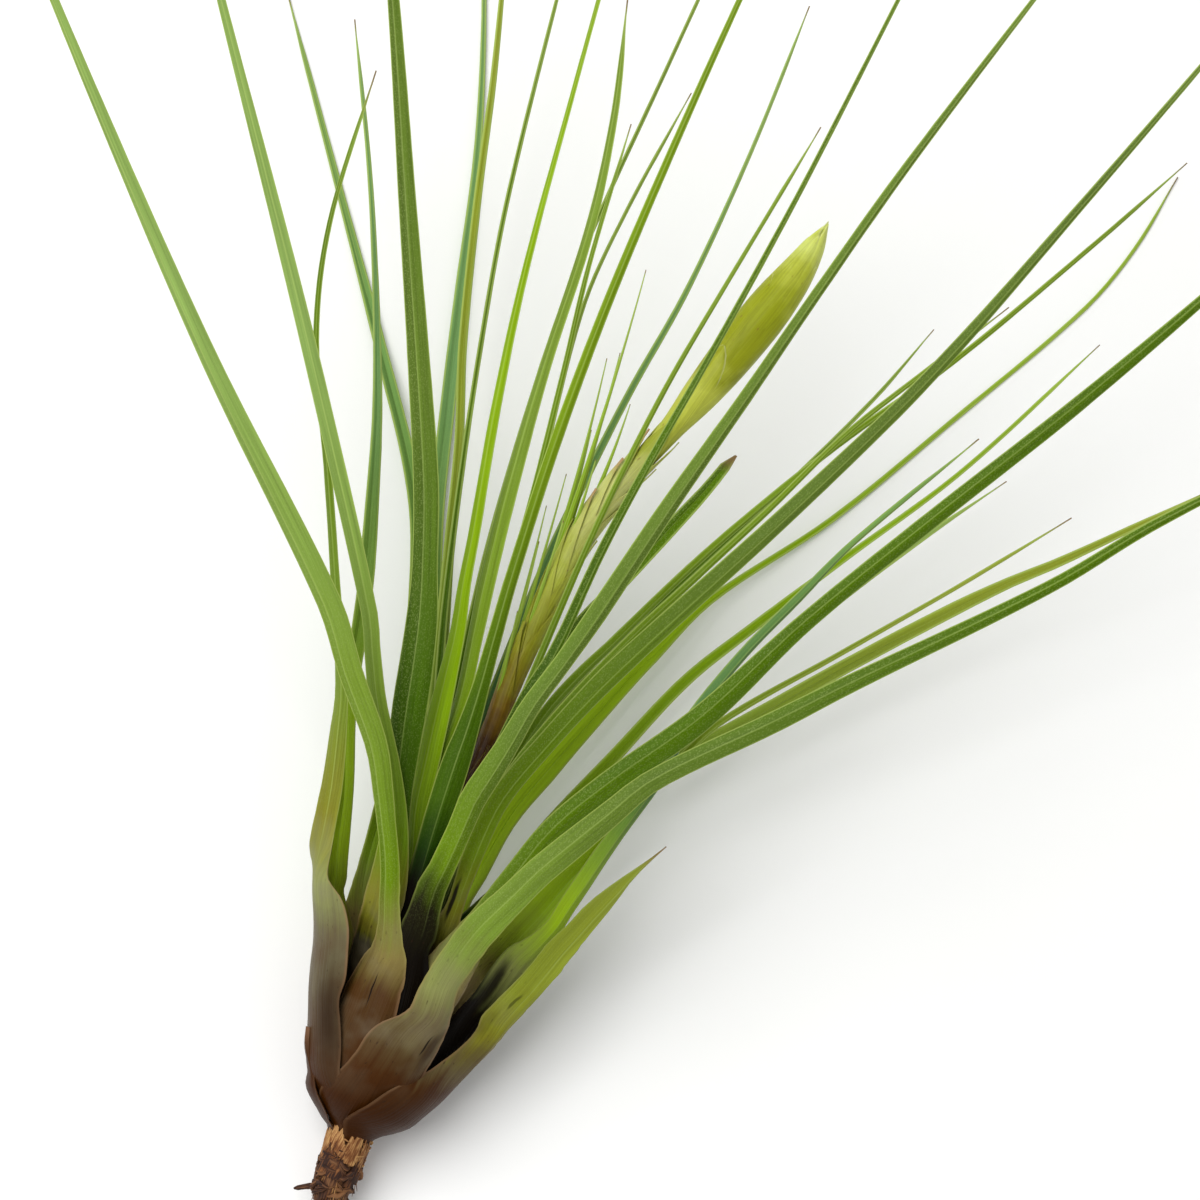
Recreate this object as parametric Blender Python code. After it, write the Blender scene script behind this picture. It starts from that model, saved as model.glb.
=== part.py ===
"""An air plant as picked, lying on a surface: stem, sheathed leaves, flower stalk and flower spike.

Units are metres and +Z is up. The origin is the middle of the small flat spot that the bulb rests on.
The shapes are worked out in the plant's own frame, in millimetres: across (to the right), along (from
the stem to the leaf tips) and toward (up, away from the surface). The last step lays the plant down.
"""

import math

import bmesh
import bpy
from mathutils import Vector

MM = 0.001

# The plant lies with its stem low and its leaf end raised by this angle.
LIE_ANGLE = math.radians(15.5)
# The bulb's underside is flattened here, where the outermost rear sheath meets the surface.
SPOT_ALONG = 26.0
SPOT_DEPTH = 0.5

LEAF_THICK = 0.64
RING_PITCH = 1.3
# Each ring further in also starts this much higher, which keeps the gap where the bulb widens quickly.
RING_RISE = 0.45
LEAF_GAP = 0.3
SHEATH_FULL = 26.0
SHEATH_TOP = 45.0
CHANNEL_ANGLE = math.radians(30.0)
# Leaves leave the axis in depth at this rate for each millimetre along, times their sheath's depth.
FAN_RATE = 0.015

# The bulb's outline: distance along the axis and the radius there.
BULB_OUTLINE = [(8.5, 5.6), (11, 8.2), (14, 11), (18, 14), (22, 16.1), (27, 17.6), (34, 18.6), (45, 19.4)]
# The stem inside and below the bulb, in the same way.
STEM_OUTLINE = [(-9, 3.4), (-4, 4.1), (2, 4.3), (8, 4.5), (10, 4.3), (14, 3.7), (20, 3.2), (30, 2.9), (37, 2.4)]
# All sheaths share these levels, so that the nested faces stay parallel.
SHEATH_LEVELS = [9.5, 12, 15, 18.5, 22, 26, 30.5, 36, 42, 49]
BLADE_ROWS = 8
# Faces across a leaf, by ring. The outermost ring's odd number puts a flat face on the surface.
LEAF_COLUMNS = [7, 6, 6, 4]
LEAF_ROUGHNESS = 0.5
# Between each pair of places along the plant, the arcs turn square to the blade, the blade turns to
# face the viewer or the surface, and its section goes from the bulb's curve to a shallow channel.
SQUARE_UP = (38, 58)
FACE_ROUND = (42, 75)
OPEN_CHANNEL = (48, 85)
# The part of its sheath's turn from straight up or down that a blade keeps.
BLADE_TURN = 0.35
TIP_WIDTH = 0.8
# Above 1, this sets a blade's rows closer near the sheath, where it bends most.
ROW_SPACING = 1.35

# Leaf colours, as linear red, green and blue.
TONES = {
    "yellow": (0.30, 0.40, 0.03),
    "teal": (0.10, 0.26, 0.14),
    "grey": (0.26, 0.36, 0.16),
    "green": (0.16, 0.30, 0.05),
    "olive": (0.18, 0.21, 0.06),
    "dark": (0.11, 0.20, 0.03),
    "sheath": (0.05, 0.03, 0.02),
}

# Each leaf: name, ring (0 is outermost), azimuth of its sheath (0 is right, 90 is up), half of the
# angle that its sheath wraps, tone, and its blade's line as (along, across, width).
LEAVES = [
    ("leaf_right_short", 0, 40, 46, "yellow",
     [(20, 13.3, 14), (26, 17.6, 11), (33, 21.5, 9.5), (40, 24.9, 8.2), (50, 28.8, 6.8), (60, 32.5, 5),
      (70, 36.6, 3.8), (80, 41, 2.4), (89, 46.5, 0.8)]),
    ("leaf_left_scale", 0, 165, 22, "sheath", [(18, -13, 7), (23, -15.5, 4), (27, -16.5, 0.8)]),
    ("leaf_rear_teal", 0, 270, 46, "teal",
     [(60, -3, 6), (90, -9, 4), (120, -18, 3.2), (143, -25, 3.4), (168, -30.5, 3.4), (192, -35.5, 2.8),
      (224, -42, 1.8), (253, -50, 1.2), (280, -59, 0.8)]),
    ("leaf_front_right", 1, 80, 50, "grey",
     [(26, 4, 20), (34, 7, 13.5), (40, 8.8, 10), (50, 11.5, 7.2), (60, 14.5, 6.6), (73, 21.5, 6.6),
      (82, 27.5, 6), (92, 32.4, 5.2), (102.5, 39.2, 4.8), (122.5, 60, 4.6), (135, 72.5, 4), (168.5, 107, 2.8),
      (188, 124, 2.2), (222, 158, 0.8)]),
    ("leaf_left_teal", 3, 205, 40, "teal",
     [(60, -21.3, 3.8), (81, -26, 3.4), (97, -30, 3.4), (122, -34.5, 3.5), (141, -39, 3), (160, -44, 2.2),
      (181, -51, 1.6), (210, -62, 1.1), (242, -76, 0.8)]),
    ("leaf_right_bright", 1, 300, 42, "yellow",
     [(60, 6.6, 4.6), (80, 10.3, 4), (97, 15, 3.6), (117, 25, 3.2), (127, 30, 2.6), (144, 40, 1.6),
      (169, 60, 1.4), (200, 80, 1.1), (233, 100.5, 0.9), (250, 107.5, 0.8), (269, 112, 0.8)]),
    ("leaf_front_left", 2, 118, 46, "grey",
     [(38, -5.6, 14.3), (45, -4.8, 10.2), (50, -5.5, 7.2), (60, -7.5, 5.5), (70, -11, 5.2), (91, -20.5, 5.4),
      (117.5, -40, 5.2), (159, -80, 3.8), (204.5, -120, 2.4), (258, -165, 0.8)]),
    ("leaf_rear_left", 2, 241, 40, "teal",
     [(60, -14.6, 5), (80, -15.8, 4.6), (100, -18, 4.6), (120, -22, 4.4), (145.5, -31, 3.4),
      (176.5, -50, 2.7), (207.5, -70, 1.7), (246, -95, 0.8)]),
    ("leaf_right_hidden", 2, 10, 46, "olive",
     [(45, 18, 9), (55, 22.3, 8), (65, 27, 6.2), (80, 32, 3.6), (95, 36, 2), (107, 43, 1.6), (119, 50, 1.4),
      (141, 70, 1.1), (163, 90, 0.9), (185, 109, 0.8)]),
    ("leaf_left_dried_tip", 1, 172, 40, "olive",
     [(36, -16.9, 14), (42, -18, 13), (50, -20.3, 11.5), (60, -23.8, 9), (70, -26.4, 6.8), (80, -28.2, 5),
      (100, -32.3, 2.9), (120, -40, 2.2), (145, -50, 1.8), (171, -61, 1.4), (196, -66, 1.2), (231, -66.5, 0.8)]),
    ("leaf_right_dark", 4, 52, 44, "dark",
     [(60, 12.5, 6), (72, 17, 5.8), (85, 22, 5.6), (99, 31, 5.8), (118, 45, 5.7), (145, 60, 4.1),
      (176, 80, 3.8), (206, 100, 3.4), (240, 121, 2.2), (268, 137, 0.8)]),
    ("leaf_right_yellow", 3, 315, 38, "yellow",
     [(62, 13, 5), (72, 17, 4.6), (84, 21, 4), (105, 30.5, 3), (125, 40, 2.6), (140, 50, 2.2), (160, 64, 1.6),
      (188, 84, 1.1), (225, 105, 0.8)]),
    ("leaf_front_grey", 3, 80, 43, "grey",
     [(50, 3.4, 6.6), (60, 3.2, 6.2), (75, 4.5, 5.8), (88, 5.5, 5.4), (112, 9, 4.8), (133, 16, 4.4), (160, 24, 3.7),
      (186, 32, 2.9), (213, 40, 2.3), (245, 50, 1.8), (302, 70, 0.8)]),
    ("leaf_right_olive", 4, 316, 42, "olive",
     [(60, 13, 5), (80, 22, 4.4), (95, 31, 4), (106, 42, 3.6), (125, 60, 3.4), (138, 72, 3.2), (158, 91.5, 3),
      (168, 102, 2.4), (176.5, 112, 2), (203, 140, 0.8)]),
    ("leaf_left_green", 5, 130, 46, "green",
     [(60, -5.8, 4.8), (77, -10, 5), (94, -18.8, 4.4), (117.5, -31, 4.2), (150, -50, 3.8), (183, -70, 3.2),
      (230, -99.5, 2), (265, -121, 0.8)]),
    ("leaf_right_teal", 5, 0, 46, "teal",
     [(54, 19.5, 8), (62, 25.5, 7), (71, 30, 6.2), (82, 34, 5), (102, 39, 3.2), (118, 43.5, 2.6),
      (135, 50, 2.2), (150, 57.5, 1.9), (165, 65, 1.3), (195, 84, 0.8)]),
    ("leaf_rear_olive", 5, 250, 42, "olive",
     [(60, -4, 4), (90, -9, 3.6), (115, -14.5, 3.2), (138, -20, 2.4), (160, -25, 2.1), (181, -31, 2),
      (213, -38, 1.8), (242, -43.5, 1.5), (275, -51, 0.8)]),
    ("leaf_right_upper", 6, 60, 46, "green",
     [(60, 6, 4.8), (82, 7, 4.8), (98, 10, 4.7), (133, 30, 4.5), (168, 50, 3.8), (204, 69, 2.9),
      (252.5, 90, 1.7), (303, 111, 0.8)]),
    ("leaf_rear_thin", 6, 280, 46, "dark",
     [(60, -2, 3), (90, -8, 2.4), (120, -15.5, 1.8), (147, -21, 1.4), (182, -27, 1.2), (215, -31.5, 1.1),
      (275, -36, 0.8)]),
    ("leaf_centre_left", 9, 115, 44, "dark",
     [(60, -8, 4.5), (78, -11.5, 4.2), (94, -13.6, 4.4), (107, -16.2, 5.2), (124, -20.6, 6), (148, -28, 5.8),
      (175, -38.5, 4.8), (203.5, -50, 3.9), (246, -67, 2.6), (290, -86, 0.8)]),
    ("leaf_right_strip", 7, 5, 44, "dark",
     [(60, 6, 3.4), (90, 7.5, 2.6), (107, 11, 2.3), (127, 21.3, 2), (146, 31.3, 1.8), (163, 41.3, 1.6),
      (184, 55, 1.4), (210, 74, 1.2), (245, 96, 1), (267, 109, 0.8)]),
    ("leaf_inner_crossing", 7, 235, 46, "dark",
     [(60, -5, 3), (100, -7.5, 2.4), (140, -11.3, 1.6), (180, -12.4, 1.3), (205, -11.8, 1.1), (222, -10.3, 1),
      (250, -7, 0.9), (285, -3, 0.8)]),
    ("leaf_yellow_green", 8, 160, 44, "yellow",
     [(60, -6, 4), (95, -8, 3.2), (115, -11, 2.8), (140, -15, 2.4), (170, -19, 2.2), (200, -22, 1.6),
      (240, -24, 1.1), (285, -26, 0.8)]),
    ("leaf_right_strip_low", 8, 40, 44, "dark",
     [(60, 7, 3), (90, 8.5, 2.4), (109, 15, 2.1), (130, 25, 1.8), (148, 35, 1.6), (166, 45, 1.4),
      (187, 56, 1.2), (205, 68, 1.1), (224, 81, 0.8)]),
    ("leaf_pale_tip", 8, 290, 46, "grey",
     [(60, 10, 3), (85, 24.5, 2.4), (113, 43.5, 2), (145, 62, 1.6), (171, 80, 1.2), (189, 94, 0.8)]),
    ("leaf_dark_centre", 7, 98, 42, "dark",
     [(60, -1.8, 4.4), (90, -3, 4.8), (105, -3.5, 4.6), (135, -4, 3.8), (165, -3.8, 2.8), (195, -2.5, 2.2),
      (225, 0, 1.8), (271, 5, 1.2), (295, 8.5, 0.8)]),
    ("leaf_cut_tip", 9, 340, 44, "dark",
     [(60, 5, 3.4), (100, 7.5, 3), (125, 12, 2.8), (142, 20, 2.5), (160, 28, 2.3), (170, 32, 2),
      (175.5, 35, 0.9)]),
    ("leaf_teal_crossing", 9, 225, 44, "teal",
     [(60, -1.5, 3.4), (100, -0.5, 2.8), (140, 2, 2.2), (160, 4.5, 1.9), (182, 8, 1.6), (207, 13, 1.3),
      (240, 17, 0.9), (276, 19.5, 0.8)]),
    ("leaf_over_spike", 10, 75, 46, "dark",
     [(60, 2.5, 3.5), (90, 4.5, 3.2), (110, 7, 2.8), (122, 10, 2.5), (146, 13, 2.1), (168, 17, 1.8),
      (192, 22, 1.5), (215, 26.5, 1.3), (240, 31, 1.1), (300, 40.5, 0.8)]),
    ("leaf_pale_channel", 10, 165, 36, "teal",
     [(60, -6, 4), (90, -6.2, 4), (107, -7.2, 4.2), (128, -9.2, 4.2), (150, -10.5, 3.6), (180, -11.5, 2.6),
      (213, -11.5, 2.2), (238, -14, 1.6), (263, -19, 0.8)]),
    ("leaf_inner_dark", 10, 290, 46, "dark",
     [(60, 3.5, 2.6), (95, 8, 2), (120, 18, 1.6), (145, 32, 1.3), (170, 46, 1.1), (197, 60, 0.9),
      (216, 68, 0.8)]),
    ("leaf_thin_over_spike", 11, 50, 42, "green",
     [(60, 4, 2.6), (100, 6, 1.8), (138, 9, 1.5), (160, 11.5, 1.3), (185, 15.5, 1.2), (208, 20.5, 1),
      (249, 30, 0.8)]),
    ("leaf_inner_thin", 11, 140, 40, "green",
     [(60, -2, 2.4), (110, -3.6, 1.8), (150, -5, 1.5), (180, -7, 1.3), (205, -9, 1.1), (237, -9.7, 0.8)]),
    ("leaf_inner_thread", 11, 228, 40, "green",
     [(60, -2.5, 2), (110, -4, 1.4), (160, -5.5, 1.1), (197, -7.6, 0.9), (220, -5, 0.8), (249, 0.5, 0.8)]),
]

# The sheaths of some leaves turn round the bulb to these azimuths by its top.
TURNED = {"leaf_right_short": 18, "leaf_left_dried_tip": 176}
TURN_START = 12
TURN_END = 38
# Two rear leaves bend down to the surface and lie on it from these places along the plant.
RESTING = {"leaf_rear_left": 205, "leaf_right_bright": 200}
BEND_START = 70
FLOOR_BLEND = 1.5

# The stalk's line as (along, across), and its radius as (along, radius).
STALK_LINE = [(38, 0.3), (60, 1), (88, 1.5), (100, 2.3), (120, 3.6), (140, 6.2), (150, 8.6), (160, 12),
              (170, 16.5), (182, 21.5), (204, 30), (218, 35), (231, 38.3)]
STALK_RADIUS = [(38, 1.9), (90, 1.8), (183, 1.5)]
STALK_END = 183
# The stalk's bracts: where each starts and ends along the plant, the azimuth it faces, and its flare.
STALK_BRACTS = [
    (62, 96, 80, 0.5), (74, 112, 255, 0.6), (88, 124, 120, 0.6), (98, 136, 20, 0.7), (108, 146, 200, 0.7),
    (118, 152, 85, 0.9), (126, 159, 320, 1.0), (134, 165, 150, 1.2), (141, 171, 40, 1.2), (147, 175, 250, 1.2),
    (153, 179, 100, 1.0), (159, 182.5, 340, 0.9),
]
BRACT_THICK = 1.0
BRACT_STANDOFF = 0.45
BRACT_WRAP = math.radians(105)
BRACT_TIP = 0.12
# The long thread-like tips of the lower bracts: start along, end along, end across, end toward.
STALK_THREADS = [
    (118, 208, 3.2, 2.5), (120, 187, 1.0, -2.5), (124, 171, 2.6, -4), (126, 189, 3.4, -1), (132, 165, 5.6, 3.2),
    (140, 179, 9.0, -3.5),
]
THREAD_WIDTH = 1.5
# How much of a thread's length its root follows the stalk.
THREAD_FOLLOW = 0.3
# The spike's bracts, in the same way as the stalk's, and the spike's radius along the plant.
SPIKE_RADIUS = [(183.4, 2.4), (190, 3.6), (203, 4.9), (214, 4.1), (224, 2.4), (231, 0.5)]
SPIKE_BRACTS = [
    (183.4, 200, 60), (183.4, 203, 200), (185, 207, 320), (188, 211, 95), (191, 214, 230), (194, 218, 350),
    (197, 221, 125), (200, 224, 260), (204, 227, 20), (208, 229, 150), (212, 231.5, 280),
]

# Old leaf remnants on the stem as (start along, end along, azimuth), and root stubs as
# (along, azimuth, length).
STEM_REMNANTS = [(1, 8, 70), (2, 7.5, 110), (0, 7, 160), (3, 8, 215), (1, 7.5, 265), (2, 8, 320), (0, 7, 20)]
REMNANT_WRAP = math.radians(24)
REMNANT_THICK = 0.8
ROOT_STUBS = [(-6, 30, 6), (-7, 110, 5), (-4, 190, 7), (-6.5, 260, 4.5), (-2, 320, 5)]
STUB_SUNK = 2.2
STUB_RADIUS = 0.75
STUB_TAPER = 0.25


def clear_scene():
    for obj in list(bpy.data.objects):
        bpy.data.objects.remove(obj)


def read_line(points, where):
    """The value at one place on a smooth line through (place, value) points."""
    if where <= points[0][0]:
        return points[0][1]
    for i in range(len(points) - 1):
        (x0, y0), (x1, y1) = points[i], points[i + 1]
        if where > x1:
            continue
        before = points[i - 1] if i else points[i]
        after = points[i + 2] if i + 2 < len(points) else points[i + 1]
        slope0 = (y1 - before[1]) / (x1 - before[0])
        slope1 = (after[1] - y0) / (after[0] - x0)
        step = x1 - x0
        t = (where - x0) / step
        return (
            y0 * (1 + 2 * t) * (1 - t) ** 2
            + y1 * (3 - 2 * t) * t * t
            + slope0 * step * t * (1 - t) ** 2
            - slope1 * step * (1 - t) * t * t
        )
    return points[-1][1]


def read_steps(points, where):
    """The value at one place on straight runs between (place, value) points."""
    if where <= points[0][0]:
        return points[0][1]
    for (x0, y0), (x1, y1) in zip(points, points[1:]):
        if where <= x1:
            return y0 + (y1 - y0) * (where - x0) / (x1 - x0)
    return points[-1][1]


def ease(value, low, high):
    t = min(1.0, max(0.0, (value - low) / (high - low)))
    return t * t * (3 - 2 * t)


def bulb_radius(along, ring):
    return read_line(BULB_OUTLINE, along - ring * RING_RISE) - ring * RING_PITCH


def lay_down(across, along, toward):
    """From the plant's own frame, in millimetres, to the world, in metres."""
    lift = bulb_radius(SPOT_ALONG, 0) * math.cos(LIE_ANGLE) - SPOT_ALONG * math.sin(LIE_ANGLE) - SPOT_DEPTH
    back = SPOT_ALONG * math.cos(LIE_ANGLE) + bulb_radius(SPOT_ALONG, 0) * math.sin(LIE_ANGLE)
    y = along * math.cos(LIE_ANGLE) - toward * math.sin(LIE_ANGLE) - back
    z = along * math.sin(LIE_ANGLE) + toward * math.cos(LIE_ANGLE) + lift
    return Vector((across, y, z)) * MM


def floor_depth(along):
    """The depth in the plant's frame of the surface that it lies on."""
    low = lay_down(0, along, 0).z / MM
    return -low / math.cos(LIE_ANGLE)


def above_floor(depth, along):
    """The same depth where it is clear of the surface, easing onto the surface where it isn't."""
    floor = floor_depth(along)
    over = depth - floor
    if over > FLOOR_BLEND:
        return depth
    if over < -FLOOR_BLEND:
        return floor
    return floor + (over + FLOOR_BLEND) ** 2 / (4 * FLOOR_BLEND)


def sheath_start(ring):
    """The lowest place where a ring's sheath still clears the stem."""
    along = BULB_OUTLINE[0][0]
    while bulb_radius(along, ring) - LEAF_THICK - LEAF_GAP < read_line(STEM_OUTLINE, along):
        along += 0.1
    return along


class Leaf:
    """One leaf's line, width and curl, read at any distance along the plant."""

    def __init__(self, name, ring, azimuth, wrap, line):
        self.rest_at = RESTING.get(name)
        self.ring = ring
        self.azimuth = math.radians(azimuth)
        self.turned = math.radians(TURNED.get(name, azimuth))
        self.wrap = math.radians(wrap)
        self.start = sheath_start(ring)
        self.end = line[-1][0]
        first = line[0][0]
        levels = [self.start] + [level for level in SHEATH_LEVELS if self.start + 0.8 < level < first - 4]
        sheath_across = [(v, bulb_radius(v, ring) * math.cos(self.heading(v))) for v in levels]
        self.across = sheath_across + [(v, u) for v, u, _ in line]
        full = min(SHEATH_FULL, first - 6)
        sheath_width = [(v, self.sheath_width(v)) for v in levels if v <= full]
        self.width = sheath_width + [(v, w) for v, _, w in line]
        rows = [level for level in SHEATH_LEVELS if self.start + 0.8 < level < self.end - 4]
        last = rows[-1]
        count = max(3, min(BLADE_ROWS, round((self.end - last) / 12)))
        rows += [last + (self.end - last) * ((i + 1) / count) ** ROW_SPACING for i in range(count)]
        self.rows = [self.start] + rows

    def sheath_width(self, along):
        return 2 * bulb_radius(along, self.ring) * math.sin(self.wrap)

    def heading(self, along):
        return self.azimuth + (self.turned - self.azimuth) * ease(along, TURN_START, TURN_END)

    def depth(self, along):
        depth = bulb_radius(min(along, SHEATH_TOP), self.ring) * math.sin(self.heading(along))
        if along <= SHEATH_TOP:
            return depth
        depth *= 1 + FAN_RATE * (along - SHEATH_TOP)
        if self.rest_at:
            depth += (floor_depth(along) - FLOOR_BLEND - depth) * ease(along, BEND_START, self.rest_at)
        return above_floor(depth, along)

    def centre(self, along):
        return Vector((read_line(self.across, along), along, self.depth(along)))

    def facing(self, along):
        """The azimuth that the outer face looks to: the sheath's own, then nearer the viewer or the surface."""
        middle = math.pi / 2 if self.azimuth <= math.pi else 1.5 * math.pi
        heading = self.heading(along)
        blade = middle + BLADE_TURN * (heading - middle)
        return heading + (blade - heading) * ease(along, *FACE_ROUND)

    def point(self, along, side):
        centre = self.centre(along)
        # A sheath's arcs lie square to the axis, so that they nest. A blade's lie square to the blade.
        tangent = (self.centre(along + 0.5) - self.centre(along - 0.5)).normalized()
        tangent = Vector((0, 1, 0)).lerp(tangent, ease(along, *SQUARE_UP)).normalized()
        angle = self.facing(along)
        outward = Vector((math.cos(angle), 0, math.sin(angle)))
        outward = (outward - tangent * outward.dot(tangent)).normalized()
        sideways = tangent.cross(outward)
        width = max(TIP_WIDTH, read_steps(self.width, along))
        shell = bulb_radius(min(along, SHEATH_TOP), self.ring)
        curl = math.asin(min(0.95, width / (2 * shell)))
        curl += (CHANNEL_ANGLE - curl) * ease(along, *OPEN_CHANNEL)
        radius = width / (2 * math.sin(curl))
        turn = side * curl
        return centre + sideways * radius * math.sin(turn) + outward * radius * (math.cos(turn) - 1)


def make_material(name, rgb, roughness):
    material = bpy.data.materials.new(name)
    material.use_nodes = True
    shader = material.node_tree.nodes["Principled BSDF"]
    shader.inputs["Base Color"].default_value = (*rgb, 1.0)
    shader.inputs["Roughness"].default_value = roughness
    shader.inputs["Metallic"].default_value = 0.0
    return material


def add_object(name, mesh, material):
    obj = bpy.data.objects.new(name, mesh)
    bpy.context.scene.collection.objects.link(obj)
    mesh.materials.append(material)
    mesh.shade_smooth()
    mesh.set_sharp_from_angle(angle=math.radians(40))
    return obj


def strip_mesh(name, rows, columns, place, closed=False):
    """A grid whose vertices go where place(row, side) says, with side from -1 to 1, or a closed tube of it."""
    mesh = bpy.data.meshes.new(name)
    bm = bmesh.new()
    bmesh.ops.create_grid(bm, x_segments=columns, y_segments=len(rows) - 1, size=0.5)
    for vert in bm.verts:
        row = rows[round((vert.co.y + 0.5) * (len(rows) - 1))]
        vert.co = place(row, vert.co.x * 2)
    if closed:
        bmesh.ops.remove_doubles(bm, verts=bm.verts[:], dist=0.000001)
        bmesh.ops.holes_fill(bm, edges=bm.edges[:], sides=0)
        bmesh.ops.recalc_face_normals(bm, faces=bm.faces[:])
    bmesh.ops.triangulate(bm, faces=bm.faces[:])
    bm.to_mesh(mesh)
    bm.free()
    return mesh


def add_thickness(obj, thick):
    solidify = obj.modifiers.new("Blade", "SOLIDIFY")
    solidify.thickness = thick * MM
    solidify.offset = -1
    solidify.use_even_offset = False


def make_leaf(name, ring, azimuth, wrap, tone, line):
    leaf = Leaf(name, ring, azimuth, wrap, line)

    def place(along, side):
        spot = lay_down(*leaf.point(along, side))
        spot.z = max(spot.z, 0.0)
        return spot

    columns = LEAF_COLUMNS[min(ring, len(LEAF_COLUMNS) - 1)]
    mesh = strip_mesh(name, leaf.rows, columns, place)
    obj = add_object(name, mesh, make_material(name, TONES[tone], LEAF_ROUGHNESS))
    add_thickness(obj, LEAF_THICK)
    return obj


def keep_outer_body(mesh):
    """Removes every body but the largest: a loose scrap is dropped, and a sealed hollow is filled."""
    bm = bmesh.new()
    bm.from_mesh(mesh)
    left = set(bm.verts)
    bodies = []
    while left:
        body = {left.pop()}
        waiting = list(body)
        while waiting:
            vert = waiting.pop()
            for edge in vert.link_edges:
                other = edge.other_vert(vert)
                if other not in body:
                    body.add(other)
                    waiting.append(other)
        left -= body
        bodies.append(body)
    bodies.sort(key=len)
    for body in bodies[:-1]:
        bmesh.ops.delete(bm, geom=list(body), context="VERTS")
    bm.to_mesh(mesh)
    bm.free()


def fuse(name, objects, material):
    """One solid from overlapping ones: a single union, applied."""
    base = objects[0]
    rest = bpy.data.collections.new(name)
    bpy.context.scene.collection.children.link(rest)
    for obj in objects[1:]:
        rest.objects.link(obj)
    union = base.modifiers.new("Union", "BOOLEAN")
    union.operation = "UNION"
    union.operand_type = "COLLECTION"
    union.collection = rest
    bpy.context.view_layer.update()
    mesh = bpy.data.meshes.new_from_object(base.evaluated_get(bpy.context.evaluated_depsgraph_get()))
    for obj in objects:
        bpy.data.objects.remove(obj)
    bpy.data.collections.remove(rest)
    mesh.name = name
    mesh.materials.clear()
    keep_outer_body(mesh)
    return add_object(name, mesh, material)


def stalk_centre(along):
    return Vector((read_line(STALK_LINE, along), along, 0))


def axis_frame(along, azimuth):
    """The stalk's centre, and the directions outward at an azimuth and sideways from it."""
    centre = stalk_centre(along)
    tangent = (stalk_centre(along + 0.5) - stalk_centre(along - 0.5)).normalized()
    outward = Vector((math.cos(azimuth), 0, math.sin(azimuth)))
    outward = (outward - tangent * outward.dot(tangent)).normalized()
    return centre, outward, tangent.cross(outward)


def spread(low, high, count):
    return [low + (high - low) * i / count for i in range(count + 1)]


def stalk_tube(material):
    def place(along, side):
        centre, outward, sideways = axis_frame(along, 0)
        turn = math.pi * side
        radius = read_steps(STALK_RADIUS, along)
        return lay_down(*(centre + (outward * math.cos(turn) + sideways * math.sin(turn)) * radius))

    mesh = strip_mesh("stalk tube", spread(STALK_LINE[0][0], STALK_END, 12), 8, place, closed=True)
    return add_object("stalk tube", mesh, material)


def stalk_bract(start, end, azimuth, flare, material):
    """A pointed bract that wraps the stalk, sunk into it at its root and standing off at its tip."""

    def place(part, side):
        along = start + (end - start) * part
        centre, outward, sideways = axis_frame(along, math.radians(azimuth))
        radius = read_steps(STALK_RADIUS, along) + BRACT_STANDOFF + flare * part * part
        turn = side * BRACT_WRAP * max(BRACT_TIP, math.cos(part * math.pi / 2) ** 0.7)
        return lay_down(*(centre + (outward * math.cos(turn) + sideways * math.sin(turn)) * radius))

    obj = add_object("stalk bract", strip_mesh("stalk bract", spread(0, 1, 5), 4, place), material)
    add_thickness(obj, BRACT_THICK)
    return obj


def stalk_thread(start, end, across, toward, material):
    """The long thin tip of a lower bract, rooted in the stalk and leaving it slowly."""

    def place(part, side):
        along = start + (end - start) * part
        root = stalk_centre(start + (end - start) * THREAD_FOLLOW * part)
        centre = root.lerp(Vector((across, end, toward)), part ** 1.2)
        centre.y = along
        width = THREAD_WIDTH + (TIP_WIDTH - THREAD_WIDTH) * part
        return lay_down(*(centre + Vector((side * width / 2, 0, LEAF_THICK / 2))))

    obj = add_object("stalk thread", strip_mesh("stalk thread", spread(0, 1, 5), 1, place), material)
    add_thickness(obj, LEAF_THICK)
    return obj


def make_flower_stalk():
    material = make_material("flower_stalk", (0.45, 0.42, 0.08), 0.5)
    pieces = [stalk_tube(material)]
    pieces += [stalk_bract(*bract, material) for bract in STALK_BRACTS]
    pieces += [stalk_thread(*thread, material) for thread in STALK_THREADS]
    return fuse("flower_stalk", pieces, material)


def spike_bract(start, end, azimuth, material):
    """A cupped bract as a solid lens from just past the spike's middle to its outer face."""

    def place(part, side):
        along = start + (end - start) * part
        centre, outward, sideways = axis_frame(along, math.radians(azimuth))
        full = read_line(SPIKE_RADIUS, along)
        shape = max(0.06, math.sin(math.pi * (0.25 + 0.75 * part)) ** 0.6)
        reach = (full + 0.5 * part) * (0.55 + 0.45 * shape)
        turn = math.pi * side
        half = 0.5 * reach * shape + 0.2
        wide = full * 0.92 * shape + 0.15
        outward_part = outward * (reach - half + half * math.cos(turn))
        return lay_down(*(centre + outward_part + sideways * wide * math.sin(turn)))

    mesh = strip_mesh("spike bract", spread(0, 1, 6), 8, place, closed=True)
    return add_object("spike bract", mesh, material)


def make_flower_spike():
    material = make_material("flower_spike", (0.48, 0.52, 0.06), 0.45)
    pieces = [spike_bract(*bract, material) for bract in SPIKE_BRACTS]
    return fuse("flower_spike", pieces, material)


def stem_body(material):
    def place(along, side):
        turn = math.pi * side
        rough = 1 + 0.05 * math.sin(5 * turn + along)
        radius = read_line(STEM_OUTLINE, along) * (rough if along < 8 else 1)
        return lay_down(radius * math.cos(turn), along, radius * math.sin(turn))

    rows = [along for along, _ in STEM_OUTLINE]
    return add_object("stem body", strip_mesh("stem body", rows, 10, place, closed=True), material)


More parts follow.
